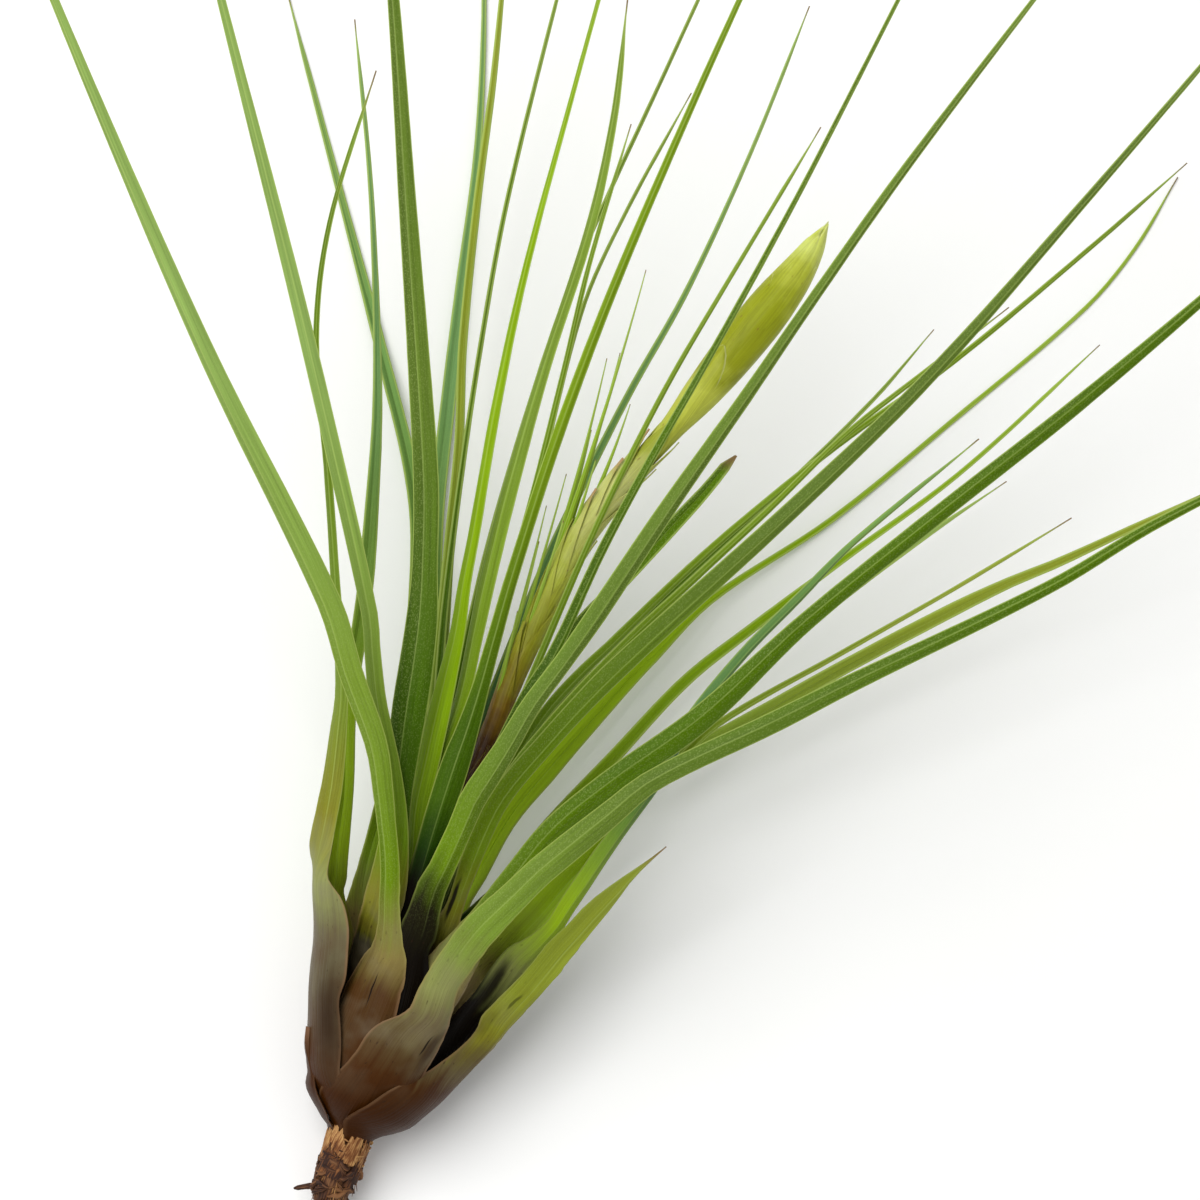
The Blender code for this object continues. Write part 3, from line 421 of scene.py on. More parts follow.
# Each leaf: name, ring (0 is outermost), azimuth of its sheath (0 is right, 90 is up), half of the
# angle that its sheath wraps, tone, and its blade's line as (along, across, width).
LEAVES = [
    ("leaf_right_short", 0, 18, 46, "yellow",
     [(45, 25.3, 7.2), (50, 27.6, 6.3), (55, 29.6, 6), (60, 31.5, 5.9), (65, 33.8, 5), (70, 36, 4.7),
      (75, 38.5, 3.6), (80, 41, 2.5), (89, 46.5, 0.8)]),
    ("leaf_left_scale", 0, 165, 22, "sheath",
     [(18, -13, 7), (23, -15.5, 4), (27, -16.5, 0.8)]),
    ("leaf_rear_teal", 0, 270, 46, "teal",
     [(60, -3, 6), (90, -9, 4), (120, -18, 3.2), (143, -25, 3.4), (168, -30.5, 3.4), (192, -35.5, 2.8),
      (224, -42, 1.8), (253, -50, 1.2), (280, -59, 0.8)]),
    ("leaf_front_right", 1, 80, 50, "grey",
     [(45, 9.1, 8.3), (50, 10.25, 8.1), (55, 11.75, 7.7), (60, 13.65, 7.7), (65, 16.2, 7.1),
      (70, 18.85, 6.6), (75, 21.4, 6.5), (80, 24.5, 6.4), (85, 27.7, 6.2), (92, 32.2, 5.6),
      (102.5, 39.2, 4.8), (122.5, 60, 4.6), (135, 72.5, 4), (168.5, 107, 2.8), (188, 124, 2.2),
      (222, 158, 0.8)]),
    ("leaf_left_teal", 3, 205, 40, "teal",
     [(56, -20, 5), (60, -20.6, 4.6), (65, -22, 4.6), (70, -23, 4.2), (75, -23.9, 3.6), (81, -25.4, 3.5),
      (97, -30, 3.4), (122, -34.5, 3.5), (141, -39, 3), (160, -44, 2.2), (181, -51, 1.6), (210, -62, 1.1),
      (242, -76, 0.8)]),
    ("leaf_right_bright", 1, 300, 42, "yellow",
     [(60, 8, 4), (70, 9.3, 4.1), (80, 11, 4.1), (85, 12.4, 4.2), (90, 14.2, 4.6), (95, 16.4, 4.7),
      (100, 18.4, 4.6), (110, 22.8, 4.2), (120, 27.3, 3.8), (127, 30.9, 3.1), (144, 40, 1.8),
      (169, 60, 1.4), (200, 80, 1.1), (233, 100.5, 0.9), (250, 107.5, 0.8), (269, 112, 0.8)]),
    ("leaf_front_left", 2, 118, 46, "grey",
     [(50, -4.9, 7.5), (52.5, -5.5, 6.3), (55, -6.2, 5.3), (60, -7.75, 4.6), (65, -9.2, 4.3),
      (70, -11, 4.1), (75, -13.2, 4.1), (80, -15.4, 4.3), (91, -20.7, 4.8), (104, -30.6, 5.2),
      (117.5, -40, 5.2), (159, -80, 3.8), (204.5, -120, 2.4), (258, -165, 0.8)]),
    ("leaf_rear_left", 2, 241, 40, "teal",
     [(60, -14.6, 5), (80, -15.8, 4.6), (100, -18, 4.6), (120, -22, 4.4), (145.5, -31, 3.4),
      (176.5, -50, 2.7), (207.5, -70, 1.7), (246, -95, 0.8)]),
    ("leaf_right_hidden", 4, 4, 46, "olive",
     [(45, 15.1, 5), (50, 17, 6), (55, 19.6, 7.4), (60, 21.8, 7.6), (65, 24.2, 7.4), (70, 26.2, 6.6),
      (75, 28.2, 5.6), (80, 30.8, 4.6), (95, 36, 2.2), (107, 43, 1.6), (119, 50, 1.4), (141, 70, 1.1),
      (163, 90, 0.9), (185, 109, 0.8)]),
    ("leaf_left_dried_tip", 1, 172, 40, "olive",
     [(66, -26.3, 7), (70, -26.7, 5.6), (75, -27.3, 5.2), (80, -28, 4.8), (90, -30, 4), (100, -32.3, 2.9),
      (120, -40, 2.2), (145, -50, 1.8), (171, -61, 1.4), (196, -66, 1.2), (231, -66.5, 0.8)]),
    ("leaf_right_dark", 4, 52, 44, "dark",
     [(60, 12.5, 6), (72, 17, 5.8), (85, 22, 5.6), (99, 31, 5.8), (118, 45, 5.7), (145, 60, 4.1),
      (176, 80, 3.8), (206, 100, 3.4), (240, 121, 2.2), (268, 137, 0.8)]),
    ("leaf_right_yellow", 3, 315, 38, "yellow",
     [(62, 13, 5), (72, 17, 4.6), (84, 21, 4), (105, 30.5, 3), (125, 40, 2.6), (140, 50, 2.2),
      (160, 64, 1.6), (188, 84, 1.1), (225, 105, 0.8)]),
    ("leaf_front_grey", 3, 80, 43, "grey",
     [(50, 0.4, 8.4), (55, 0.7, 8), (60, 0.55, 6.8), (65, 0.6, 6.3), (70, 1.4, 5.7), (75, 2, 5.6),
      (80, 2.55, 5.5), (86, 3.1, 5.8), (92, 4.7, 5.6), (100, 6.75, 4.9), (110, 9, 4.3), (120, 12.4, 4),
      (133, 16.4, 4.3), (160, 24, 3.7), (186, 32, 2.9), (213, 40, 2.3), (245, 50, 1.8), (302, 70, 0.8)]),
    ("leaf_right_olive", 4, 316, 42, "olive",
     [(60, 13, 5), (80, 22, 4.4), (95, 31, 4), (106, 42, 3.6), (125, 60, 3.4), (138, 72, 3.2),
      (158, 91.5, 3), (168, 102, 2.4), (176.5, 112, 2), (203, 140, 0.8)]),
    ("leaf_left_green", 5, 130, 46, "green",
     [(50, -9, 9.5), (60, -9, 9), (68, -10, 7.4), (77, -12.2, 5.6), (86, -16, 4.6), (94, -20.3, 4.2),
      (100, -23.6, 4), (110, -27.9, 3.6), (117.5, -31, 3.6), (150, -50, 3.6), (183, -70, 3.2),
      (230, -99.5, 2), (265, -121, 0.8)]),
    ("leaf_right_teal", 2, 12, 46, "teal",
     [(45, 21, 8.5), (50, 22.4, 8.4), (55, 24, 7.8), (58, 25.7, 6), (61.3, 27.3, 4.5), (65, 28.9, 3.8),
      (70, 30.2, 3.9), (75, 31.7, 3.9), (82, 33.7, 3.7), (90, 36.2, 3.3), (102, 40.2, 3), (118, 43.5, 2.6),
      (135, 50, 2.2), (150, 57.5, 1.9), (165, 65, 1.3), (195, 84, 0.8)]),
    ("leaf_rear_olive", 5, 250, 42, "olive",
     [(60, -4, 4), (90, -9, 3.6), (115, -14.5, 3.2), (138, -20, 2.4), (160, -25, 2.1), (181, -31, 2),
      (213, -38, 1.8), (242, -43.5, 1.5), (275, -51, 0.8)]),
    ("leaf_right_upper", 6, 60, 46, "green",
     [(60, 6.5, 4.6), (75, 7, 4.6), (85, 8.1, 4.6), (90, 9.4, 4.6), (95, 11.3, 4.6), (100, 13.5, 4.5),
      (110, 17.9, 4.5), (120, 22.8, 4.8), (133, 30, 4.5), (168, 50, 3.8), (204, 69, 2.9), (252.5, 90, 1.7),
      (303, 111, 0.8)]),
    ("leaf_rear_thin", 6, 280, 46, "dark",
     [(60, -2, 3), (90, -8, 2.4), (120, -15.5, 1.8), (147, -21, 1.4), (182, -27, 1.2), (215, -31.5, 1.1),
      (275, -36, 0.8)]),
    ("leaf_centre_left", 9, 115, 44, "dark",
     [(60, -7.5, 4.5), (70, -9.8, 5.4), (80, -12.6, 6), (90, -14.6, 6.8), (100, -16.4, 7.7),
      (110, -18, 7.5), (120, -19.9, 6.9), (130, -22.5, 5.7), (148, -28, 5.6), (175, -38.5, 4.8),
      (203.5, -50, 3.9), (246, -67, 2.6), (290, -86, 0.8)]),
    ("leaf_right_strip", 7, 5, 44, "dark",
     [(60, 6, 3.4), (90, 8, 2.4), (100, 9.9, 2.2), (110, 12.9, 2.4), (120, 17.5, 2.3), (127, 21.3, 2.1),
      (146, 31.3, 1.8), (163, 41.3, 1.6), (184, 55, 1.4), (210, 74, 1.2), (245, 96, 1), (267, 109, 0.8)]),
    ("leaf_inner_crossing", 7, 235, 46, "dark",
     [(60, -5, 3), (100, -7.5, 2.4), (140, -11.3, 1.6), (180, -12.4, 1.3), (205, -11.8, 1.1),
      (222, -10.3, 1), (250, -7, 0.9), (285, -3, 0.8)]),
    ("leaf_yellow_green", 8, 160, 44, "yellow",
     [(60, -4, 3), (70, -5.9, 3.6), (80, -8.2, 4.5), (90, -9.2, 4.9), (100, -10.2, 5), (110, -11, 4.2),
      (120, -11.9, 3.4), (130, -13.6, 2.9), (140, -14.8, 2.6), (170, -19, 2.2), (200, -22, 1.6),
      (240, -24, 1.1), (285, -26, 0.8)]),
    ("leaf_right_strip_low", 8, 40, 44, "dark",
     [(60, 7, 3), (90, 8.5, 2.4), (109, 15, 2.1), (130, 25, 1.8), (148, 35, 1.6), (166, 45, 1.4),
      (187, 56, 1.2), (205, 68, 1.1), (224, 81, 0.8)]),
    ("leaf_pale_tip", 8, 290, 46, "grey",
     [(60, 10, 3), (85, 24.5, 2.4), (113, 43.5, 2), (145, 62, 1.6), (171, 80, 1.2), (189, 94, 0.8)]),
    ("leaf_dark_centre", 7, 98, 42, "dark",
     [(60, -2.5, 6), (80, -3, 6.2), (92, -3, 6.2), (100, -2.8, 5), (110, -2.9, 3.8), (120, -3.3, 3.3),
      (135, -3.8, 2.9), (165, -3.8, 2.6), (195, -2.5, 2.2), (225, 0, 1.8), (271, 5, 1.2), (295, 8.5, 0.8)]),
    ("leaf_cut_tip", 9, 340, 44, "dark",
     [(60, 5, 3.4), (100, 7.5, 3), (125, 12, 3), (142, 20, 3.2), (160, 28.2, 3.2), (165, 30.5, 2.9),
      (170, 32.5, 2.6), (174, 34, 2.3), (175.5, 34.8, 1.9)]),
    ("leaf_teal_crossing", 9, 225, 44, "teal",
     [(60, -1.5, 3.4), (100, -0.5, 2.8), (140, 2, 2.2), (160, 4.5, 1.9), (182, 8, 1.6), (207, 13, 1.3),
      (240, 17, 0.9), (276, 19.5, 0.8)]),
    ("leaf_over_spike", 10, 75, 46, "dark",
     [(60, 2.5, 3.5), (90, 4.5, 3.2), (110, 7, 2.8), (122, 10, 2.5), (146, 13, 2.1), (168, 17, 1.8),
      (192, 22, 1.5), (215, 26.5, 1.3), (240, 31, 1.1), (300, 40.5, 0.8)]),
    ("leaf_pale_channel", 10, 165, 36, "teal",
     [(60, -5, 3.4), (90, -6.8, 3.4), (105, -6.4, 3.2), (120, -7.9, 3.4), (130, -9, 3.7), (150, -10.5, 3.6),
      (180, -11.5, 2.6), (213, -11.5, 2.2), (238, -14, 1.6), (263, -19, 0.8)]),
    ("leaf_inner_dark", 10, 290, 46, "dark",
     [(60, 3.5, 2.6), (95, 8, 2), (120, 18, 1.6), (145, 32, 1.3), (170, 46, 1.1), (197, 60, 0.9),
      (216, 68, 0.8)]),
    ("leaf_thin_over_spike", 11, 50, 42, "green",
     [(60, 4, 2.6), (100, 6, 1.8), (138, 9, 1.5), (160, 11.5, 1.3), (185, 15.5, 1.2), (208, 20.5, 1),
      (249, 30, 0.8)]),
    ("leaf_inner_thin", 11, 140, 40, "green",
     [(60, -2, 2.4), (110, -3.6, 1.8), (150, -5, 1.5), (180, -7, 1.3), (205, -9, 1.1), (237, -9.7, 0.8)]),
    ("leaf_inner_thread", 11, 228, 40, "green",
     [(60, -2.5, 2), (110, -4, 1.4), (160, -5.5, 1.1), (197, -7.6, 0.9), (220, -5, 0.8), (249, 0.5, 0.8)]),
]

# Tones of the skin: browns, olives and greens. black and shade, and in part bottle, are painted shade: the
# inner leaves' sheaths and necks are painted dark for the shade deep inside the bulb.
SKIN_TONES = {
    "black": "#0D0803", "umber": "#361A03", "chestnut": "#41240A", "bark": "#462F12", "drab": "#5F5334",
    "slate": "#645F45", "dun": "#796C3A", "fawn": "#A08C58", "reed": "#82874A", "olive": "#7C7A20",
    # fawn and citron are painted light: tones made lighter so that sheaths and blades lying in shade look
    # lit.
    "hay": "#8A962C", "shade": "#191704", "bottle": "#183200", "pine": "#3A5702", "moss": "#4B6903",
    "leaf": "#5C7808", "grass": "#6D890E", "lime": "#7EA006", "citron": "#9CBC1C", "sage": "#586F24",
    "willow": "#70892D", "mist": "#829E50", "sea": "#678C46", "teal": "#6B9254", "spruce": "#4B7040",
}
# Each leaf's skin: tones at 22 mm, below the neck, at the neck, and low, mid and high on the blade; how
# far along the neck is; where the blade folds (-1 is its left margin, 1 its right); how much lighter its
# right wing is painted than its left, partly its own tone and partly painted shade; how strongly its pale
# scales show; and how much of its tip has dried.
SKINS = {
    "leaf_right_short": ("chestnut", "drab", "olive", "hay", "hay", "hay", 38, 0.3, 1.25, 0.3, 0.1),
    "leaf_left_scale": ("chestnut", "chestnut", "drab", "drab", "drab", "drab", 48, 0.0, 1.0, 0.2, 0.3),
    "leaf_rear_teal": ("chestnut", "drab", "dun", "leaf", "leaf", "teal", 52, 0.0, 1.1, 0.4, 0.02),
    "leaf_front_right": ("chestnut", "drab", "reed", "willow", "sage", "moss", 46, -0.1, 1.15, 0.8, 0.02),
    "leaf_left_teal": ("umber", "drab", "olive", "citron", "grass", "teal", 50, 0.1, 1.15, 0.4, 0.02),
    "leaf_right_bright": ("umber", "drab", "olive", "citron", "citron", "lime", 52, 0.0, 1.15, 0.2, 0.03),
    "leaf_front_left": ("chestnut", "bark", "dun", "leaf", "willow", "mist", 49, -0.4, 1.3, 0.7, 0.02),
    "leaf_rear_left": ("umber", "drab", "dun", "grass", "leaf", "sea", 52, 0.0, 0.85, 0.4, 0.02),
    "leaf_right_hidden": ("black", "fawn", "hay", "citron", "grass", "hay", 54, 0.1, 1.25, 0.3, 0.04),
    "leaf_left_dried_tip": ("chestnut", "slate", "reed", "olive", "willow", "leaf", 58, 0.2, 1.15, 0.3, 0.05),
    "leaf_right_dark": ("black", "fawn", "reed", "leaf", "moss", "moss", 52, -0.2, 1.2, 0.8, 0.02),
    "leaf_right_yellow": ("umber", "drab", "dun", "grass", "grass", "lime", 52, 0.0, 1.15, 0.3, 0.02),
    "leaf_front_grey": ("black", "black", "shade", "leaf", "sage", "sage", 59, 0.25, 0.85, 0.8, 0.02),
    "leaf_right_olive": ("umber", "drab", "dun", "hay", "willow", "hay", 52, 0.0, 1.2, 0.4, 0.03),
    "leaf_left_green": ("umber", "shade", "olive", "leaf", "willow", "mist", 58, 0.1, 1.2, 0.4, 0.02),
    "leaf_right_teal": ("black", "black", "reed", "citron", "spruce", "sea", 52, 0.2, 0.75, 0.4, 0.02),
    "leaf_rear_olive": ("umber", "drab", "dun", "moss", "willow", "hay", 58, 0.0, 1.15, 0.3, 0.02),
    "leaf_right_upper": ("black", "shade", "olive", "grass", "leaf", "sage", 60, 0.2, 1.2, 0.6, 0.02),
    "leaf_rear_thin": ("black", "drab", "dun", "pine", "pine", "moss", 58, 0.0, 1.1, 0.3, 0.02),
    "leaf_centre_left": ("black", "black", "bottle", "pine", "pine", "sage", 60, -0.1, 1.45, 0.8, 0.02),
    "leaf_right_strip": ("black", "black", "bottle", "leaf", "leaf", "grass", 60, 0.0, 1.15, 0.5, 0.02),
    "leaf_inner_crossing": ("black", "black", "bottle", "pine", "moss", "moss", 60, 0.0, 1.15, 0.5, 0.02),
    "leaf_yellow_green": ("black", "black", "pine", "grass", "lime", "lime", 60, 0.0, 1.2, 0.2, 0.02),
    "leaf_right_strip_low": ("black", "black", "bottle", "leaf", "leaf", "grass", 60, 0.0, 1.15, 0.5, 0.03),
    "leaf_pale_tip": ("black", "black", "bottle", "grass", "willow", "mist", 58, 0.0, 1.15, 0.4, 0.02),
    "leaf_dark_centre": ("black", "black", "bottle", "pine", "pine", "grass", 72, 0.0, 1.1, 0.3, 0.02),
    "leaf_cut_tip": ("black", "black", "bottle", "grass", "moss", "moss", 60, 0.2, 0.85, 1.0, 0.035),
    "leaf_teal_crossing": ("black", "black", "bottle", "moss", "spruce", "teal", 60, 0.0, 1.15, 0.4, 0.02),
    "leaf_over_spike": ("black", "black", "bottle", "moss", "pine", "moss", 60, 0.3, 1.3, 0.9, 0.02),
    "leaf_pale_channel": ("black", "black", "bottle", "leaf", "grass", "willow", 60, 0.0, 1.25, 0.4, 0.02),
    "leaf_inner_dark": ("black", "black", "bottle", "pine", "moss", "moss", 62, 0.0, 1.15, 0.5, 0.02),
    "leaf_thin_over_spike": ("black", "black", "bottle", "leaf", "leaf", "grass", 62, 0.0, 1.15, 0.5, 0.02),
    "leaf_inner_thin": ("black", "black", "bottle", "moss", "moss", "leaf", 62, 0.0, 1.15, 0.4, 0.02),
    "leaf_inner_thread": ("black", "black", "bottle", "moss", "grass", "leaf", 62, 0.0, 1.15, 0.4, 0.02),
}
# The sheaths drawn one by one, as (along, across, half of the angle that it wraps in degrees).
SHEATHS = {
    "leaf_right_short": [(8, 5.1, 88), (10, 8.5, 86), (12.5, 11.7, 78), (15, 13.3, 67), (20, 16, 53),
                         (25, 17.5, 29), (30, 19.6, 17), (35, 21.9, 12), (38, 22.9, 11), (41, 23.6, 12)],
    "leaf_left_scale": [(9, -7, 26), (14, -12, 24)],
    "leaf_front_right": [(9.2, 0.9, 68), (15, 2, 61), (18, 2.5, 49), (20.5, 3, 40), (26, 4.3, 31.5),
                         (30, 5.3, 29.7), (33.5, 6.5, 25.3), (36, 8, 20), (38, 8.8, 16.5), (41, 9, 15)],
    "leaf_front_left": [(10.2, -2.5, 50), (20, -5.5, 48), (28, -6.4, 46), (31, -6.3, 37), (34.6, -6, 29),
                        (40, -5.7, 25), (43.5, -5.2, 23), (47.3, -4.6, 17.5)],
    "leaf_front_grey": [(11.6, 0.9, 43), (36, 1.5, 40), (44, 1, 26)],
    "leaf_left_dried_tip": [(9.2, -5.4, 58), (15, -11.4, 58), (20, -14.2, 55), (26, -15.9, 51),
                            (30, -17, 48), (35, -18.5, 45), (40, -19.7, 49), (45, -20.7, 48),
                            (50, -22.2, 48), (55, -24.1, 43), (57.5, -24.9, 35), (60, -25.5, 25),
                            (62.5, -25.9, 17)],
    "leaf_right_hidden": [(12.5, 5, 46), (30, 12.4, 40), (38, 13.4, 22)],
    "leaf_right_teal": [(10.2, 5.3, 46), (20, 13, 46), (30, 16.4, 36), (38, 18.4, 20)],
}
# Where a blade turns to the viewer, if it isn't where the others do.
FACE_ROUND = {
    "leaf_right_short": (16, 44), "leaf_right_hidden": (24, 42), "leaf_right_teal": (22, 40),
    "leaf_left_dried_tip": (58, 70),
}
# Stains, creases and painted light: the middle across and along the skin, the half sizes, the colour and its
# strength. The dark lines of creases and slits and the dark patches in hollows are painted shade, and one
# pale patch is a painted highlight.
STAINS_AND_PAINTED_LIGHT = {
    # front_left: a brown stain, then the dark line of a crease, which is painted shade.
    "leaf_front_left": [(-3.2, 36.0, 3.2, 8.0, "#4E3218", 0.6), (0.5, 39.5, 0.22, 5.0, "#140A04", 0.95)],
    # front_right: a dark brown patch, the dark line of a crease, which is painted shade, and a painted
    # grey-olive highlight.
    "leaf_front_right": [(5.6, 31.0, 2.0, 7.0, "#33200F", 0.75), (4.2, 31.5, 0.25, 4.0, "#140A04", 0.9),
                         (1.2, 32.0, 3.0, 6.0, "#746A48", 0.4)],
    # right_short: dark specks along the fold, then painted shade in the hollow by its left margin.
    "leaf_right_short": [(-0.3, 46.5, 0.5, 2.6, "#2C2C0A", 0.6), (-2.2, 40.0, 1.8, 6.0, "#4A4410", 0.4)],
    "leaf_left_dried_tip": [(9.5, 30.0, 6.5, 18.0, "#2E1F12", 0.9)],
    # right_teal: painted shade, a near-black patch for the dark pocket between the sheaths.
    "leaf_right_teal": [(-2.5, 48.0, 1.8, 9.0, "#15100A", 0.92)],
    # right_upper: the dark line of a slit, painted shade.
    "leaf_right_upper": [(-1.0, 63.0, 0.6, 6.5, "#120C04", 0.95)],
}
# This tip is cut off blunt, over the length given.
BLUNT = {"leaf_cut_tip": 2.0}
# Leaves that bend down and reach the surface at this place along the plant, and where the bend starts.
RESTING = {"leaf_rear_left": 205, "leaf_right_bright": 200}
BEND_START = 70
FLOOR_BLEND = 1.5


def floor_depth(along):
    """The depth in the plant's frame of the surface that it lies on."""
    return -(along * math.sin(LIE_ANGLE) + LIFT) / math.cos(LIE_ANGLE)


def above_floor(depth, along):
    """The same depth where it is clear of the surface, easing onto the surface where it isn't."""
    floor = floor_depth(along)
    over = depth - floor
    if over > FLOOR_BLEND:
        return depth
    if over < -FLOOR_BLEND:
        return floor
    return floor + (over + FLOOR_BLEND) ** 2 / (4 * FLOOR_BLEND)


class Leaf:
    """One leaf's line, width, curl and fold, read at any distance along the plant."""

    def __init__(self, name, ring, azimuth, wrap, fold, line):
        self.seed = len(name) * 1.37 + azimuth * 0.11 + ring
        self.rest_at = RESTING.get(name)
        self.ring = ring
        self.azimuth = math.radians(azimuth)
        at_side = abs(math.cos(self.azimuth)) > 0.6
        self.face_round = FACE_ROUND.get(name, SIDE_FACE_ROUND if at_side else OTHER_FACE_ROUND)
        self.point_length = BLUNT.get(name, POINT_LENGTH)
        self.fold = fold
        self.start = BULB_OUTLINE[0][0]
        while bulb_radius(self.start, ring) - LEAF_THICK - LEAF_GAP < read_line(STEM_OUTLINE, self.start):
            self.start += 0.1
        self.end = line[-1][0]
        first = line[0][0]
        sheath = SHEATHS.get(name)
        if not sheath:
            levels = [self.start]
            levels += [level for level in SHEATH_LEVELS if self.start + 0.8 < level < first - 4]
            sheath = [(v, bulb_radius(v, ring) * math.cos(self.azimuth), wrap) for v in levels]
        self.across = [(v, u) for v, u, _ in sheath] + [(v, u) for v, u, _ in line]
        self.curls = [(v, math.radians(half)) for v, _, half in sheath]
        self.curls += [(v, math.asin(min(0.9, w / 2 / self.shell(v)))) for v, _, w in line]
        root = self.start - ROOT_LENGTH
        close_end = min(CLOSE_ROWS_END, self.end)
        self.rows = spread(root, close_end, round((close_end - root) / CLOSE_ROW))
        if self.end > CLOSE_ROWS_END + 4:
            self.rows += spread(close_end, self.end, round((self.end - close_end) / WIDE_ROW))[1:]

    def shell(self, along):
        """The radius of the sheath's outer face, which closes onto the stem below its ring's start."""
        if along >= self.start:
            return bulb_radius(min(along, SHEATH_TOP), self.ring)
        stem = read_line(STEM_OUTLINE, along) - 0.1
        opened = ease(along, self.start - ROOT_LENGTH, self.start)
        return stem + (bulb_radius(self.start, self.ring) - stem) * opened

    def depth(self, along):
        depth = self.shell(along) * math.sin(self.azimuth)
        if along <= SHEATH_TOP:
            return depth
        depth *= 1 + FAN_RATE * (along - SHEATH_TOP)
        if self.rest_at:
            depth += (floor_depth(along) - FLOOR_BLEND - depth) * ease(along, BEND_START, self.rest_at)
        return above_floor(depth, along)

    def centre(self, along):
        if along < self.start:
            return Vector((self.shell(along) * math.cos(self.azimuth), along, self.depth(along)))
        return Vector((read_line(self.across, along), along, self.depth(along)))

    def facing(self, along):
        """The azimuth that the outer face looks to: the sheath's own, then nearer the viewer or the floor."""
        middle = math.pi / 2 if self.azimuth <= math.pi else 1.5 * math.pi
        blade = middle + BLADE_TURN * (self.azimuth - middle)
        return self.azimuth + (blade - self.azimuth) * ease(along, *self.face_round)

    def width_at(self, along, curl, angle):
        """The width from margin to margin. The lines give a blade's as it is seen, once it has turned."""
        width = 2 * self.shell(along) * math.sin(min(curl, math.pi / 2))
        turned = self.face_round[1]
        width /= abs(math.sin(angle)) ** ease(along, turned - 5, turned + 7)
        return max(THREAD_WIDTH, width * (1 - 0.72 * ease(along, self.end - self.point_length, self.end)))

    def place(self, along, side):
        """The place rule of the leaf's outer face: curled, folded, pressed in and ragged at its margins."""
        # The middle column of faces' edges runs along the fold.
        side = self.fold + side * (1 - math.copysign(self.fold, side * self.fold))
        centre = self.centre(along)
        tangent = (self.centre(along + 0.5) - self.centre(along - 0.5)).normalized()
        tangent = Vector((0, 1, 0)).lerp(tangent, ease(along, *SQUARE_UP)).normalized()
        angle = self.facing(along)
        outward = spoke(angle)
        outward = (outward - tangent * outward.dot(tangent)).normalized()
        sideways = tangent.cross(outward)
        curl = read_line(self.curls, along)
        width = self.width_at(along, curl, angle)
        half = width / 2
        curl += (CHANNEL_ANGLE - curl) * ease(along, *OPEN_CHANNEL)
        radius = width / (2 * math.sin(min(curl, math.pi / 2)))
        turn = side * curl
        point = centre + sideways * radius * math.sin(turn) + outward * radius * (math.cos(turn) - 1)
        blade = ease(along, *FOLDED)
        rim = ease(abs(side), 0.6, 1.0)
        pressed = MARGIN_PRESS * rim * ease(along, 12, 24) * (1 - ease(along, 38, 60))
        point -= swing(outward, sideways, turn) * pressed
        point += outward * blade * min(1.0, width / 4) * FOLD_HEIGHT * (0.5 - abs(side - self.fold))
        ragged = 0.5 * rough(along * 0.33, self.seed, side) * (1 - blade)
        ragged += 0.06 * rough(along * 0.2, self.seed, side)
        point += sideways * math.copysign(ragged * rim, side)
        point += outward * 0.1 * blade * rough(along * 0.1, side * 1.3, self.seed)
        share = (0.3 + 0.7 * (1 - side ** 4)) * min(1.0, 0.35 + width / 4)
        part = (along - self.start) / (self.end - self.start)
        return point, side * half, along, (1 - abs(side)) * half, (side - self.fold) * half, part, share


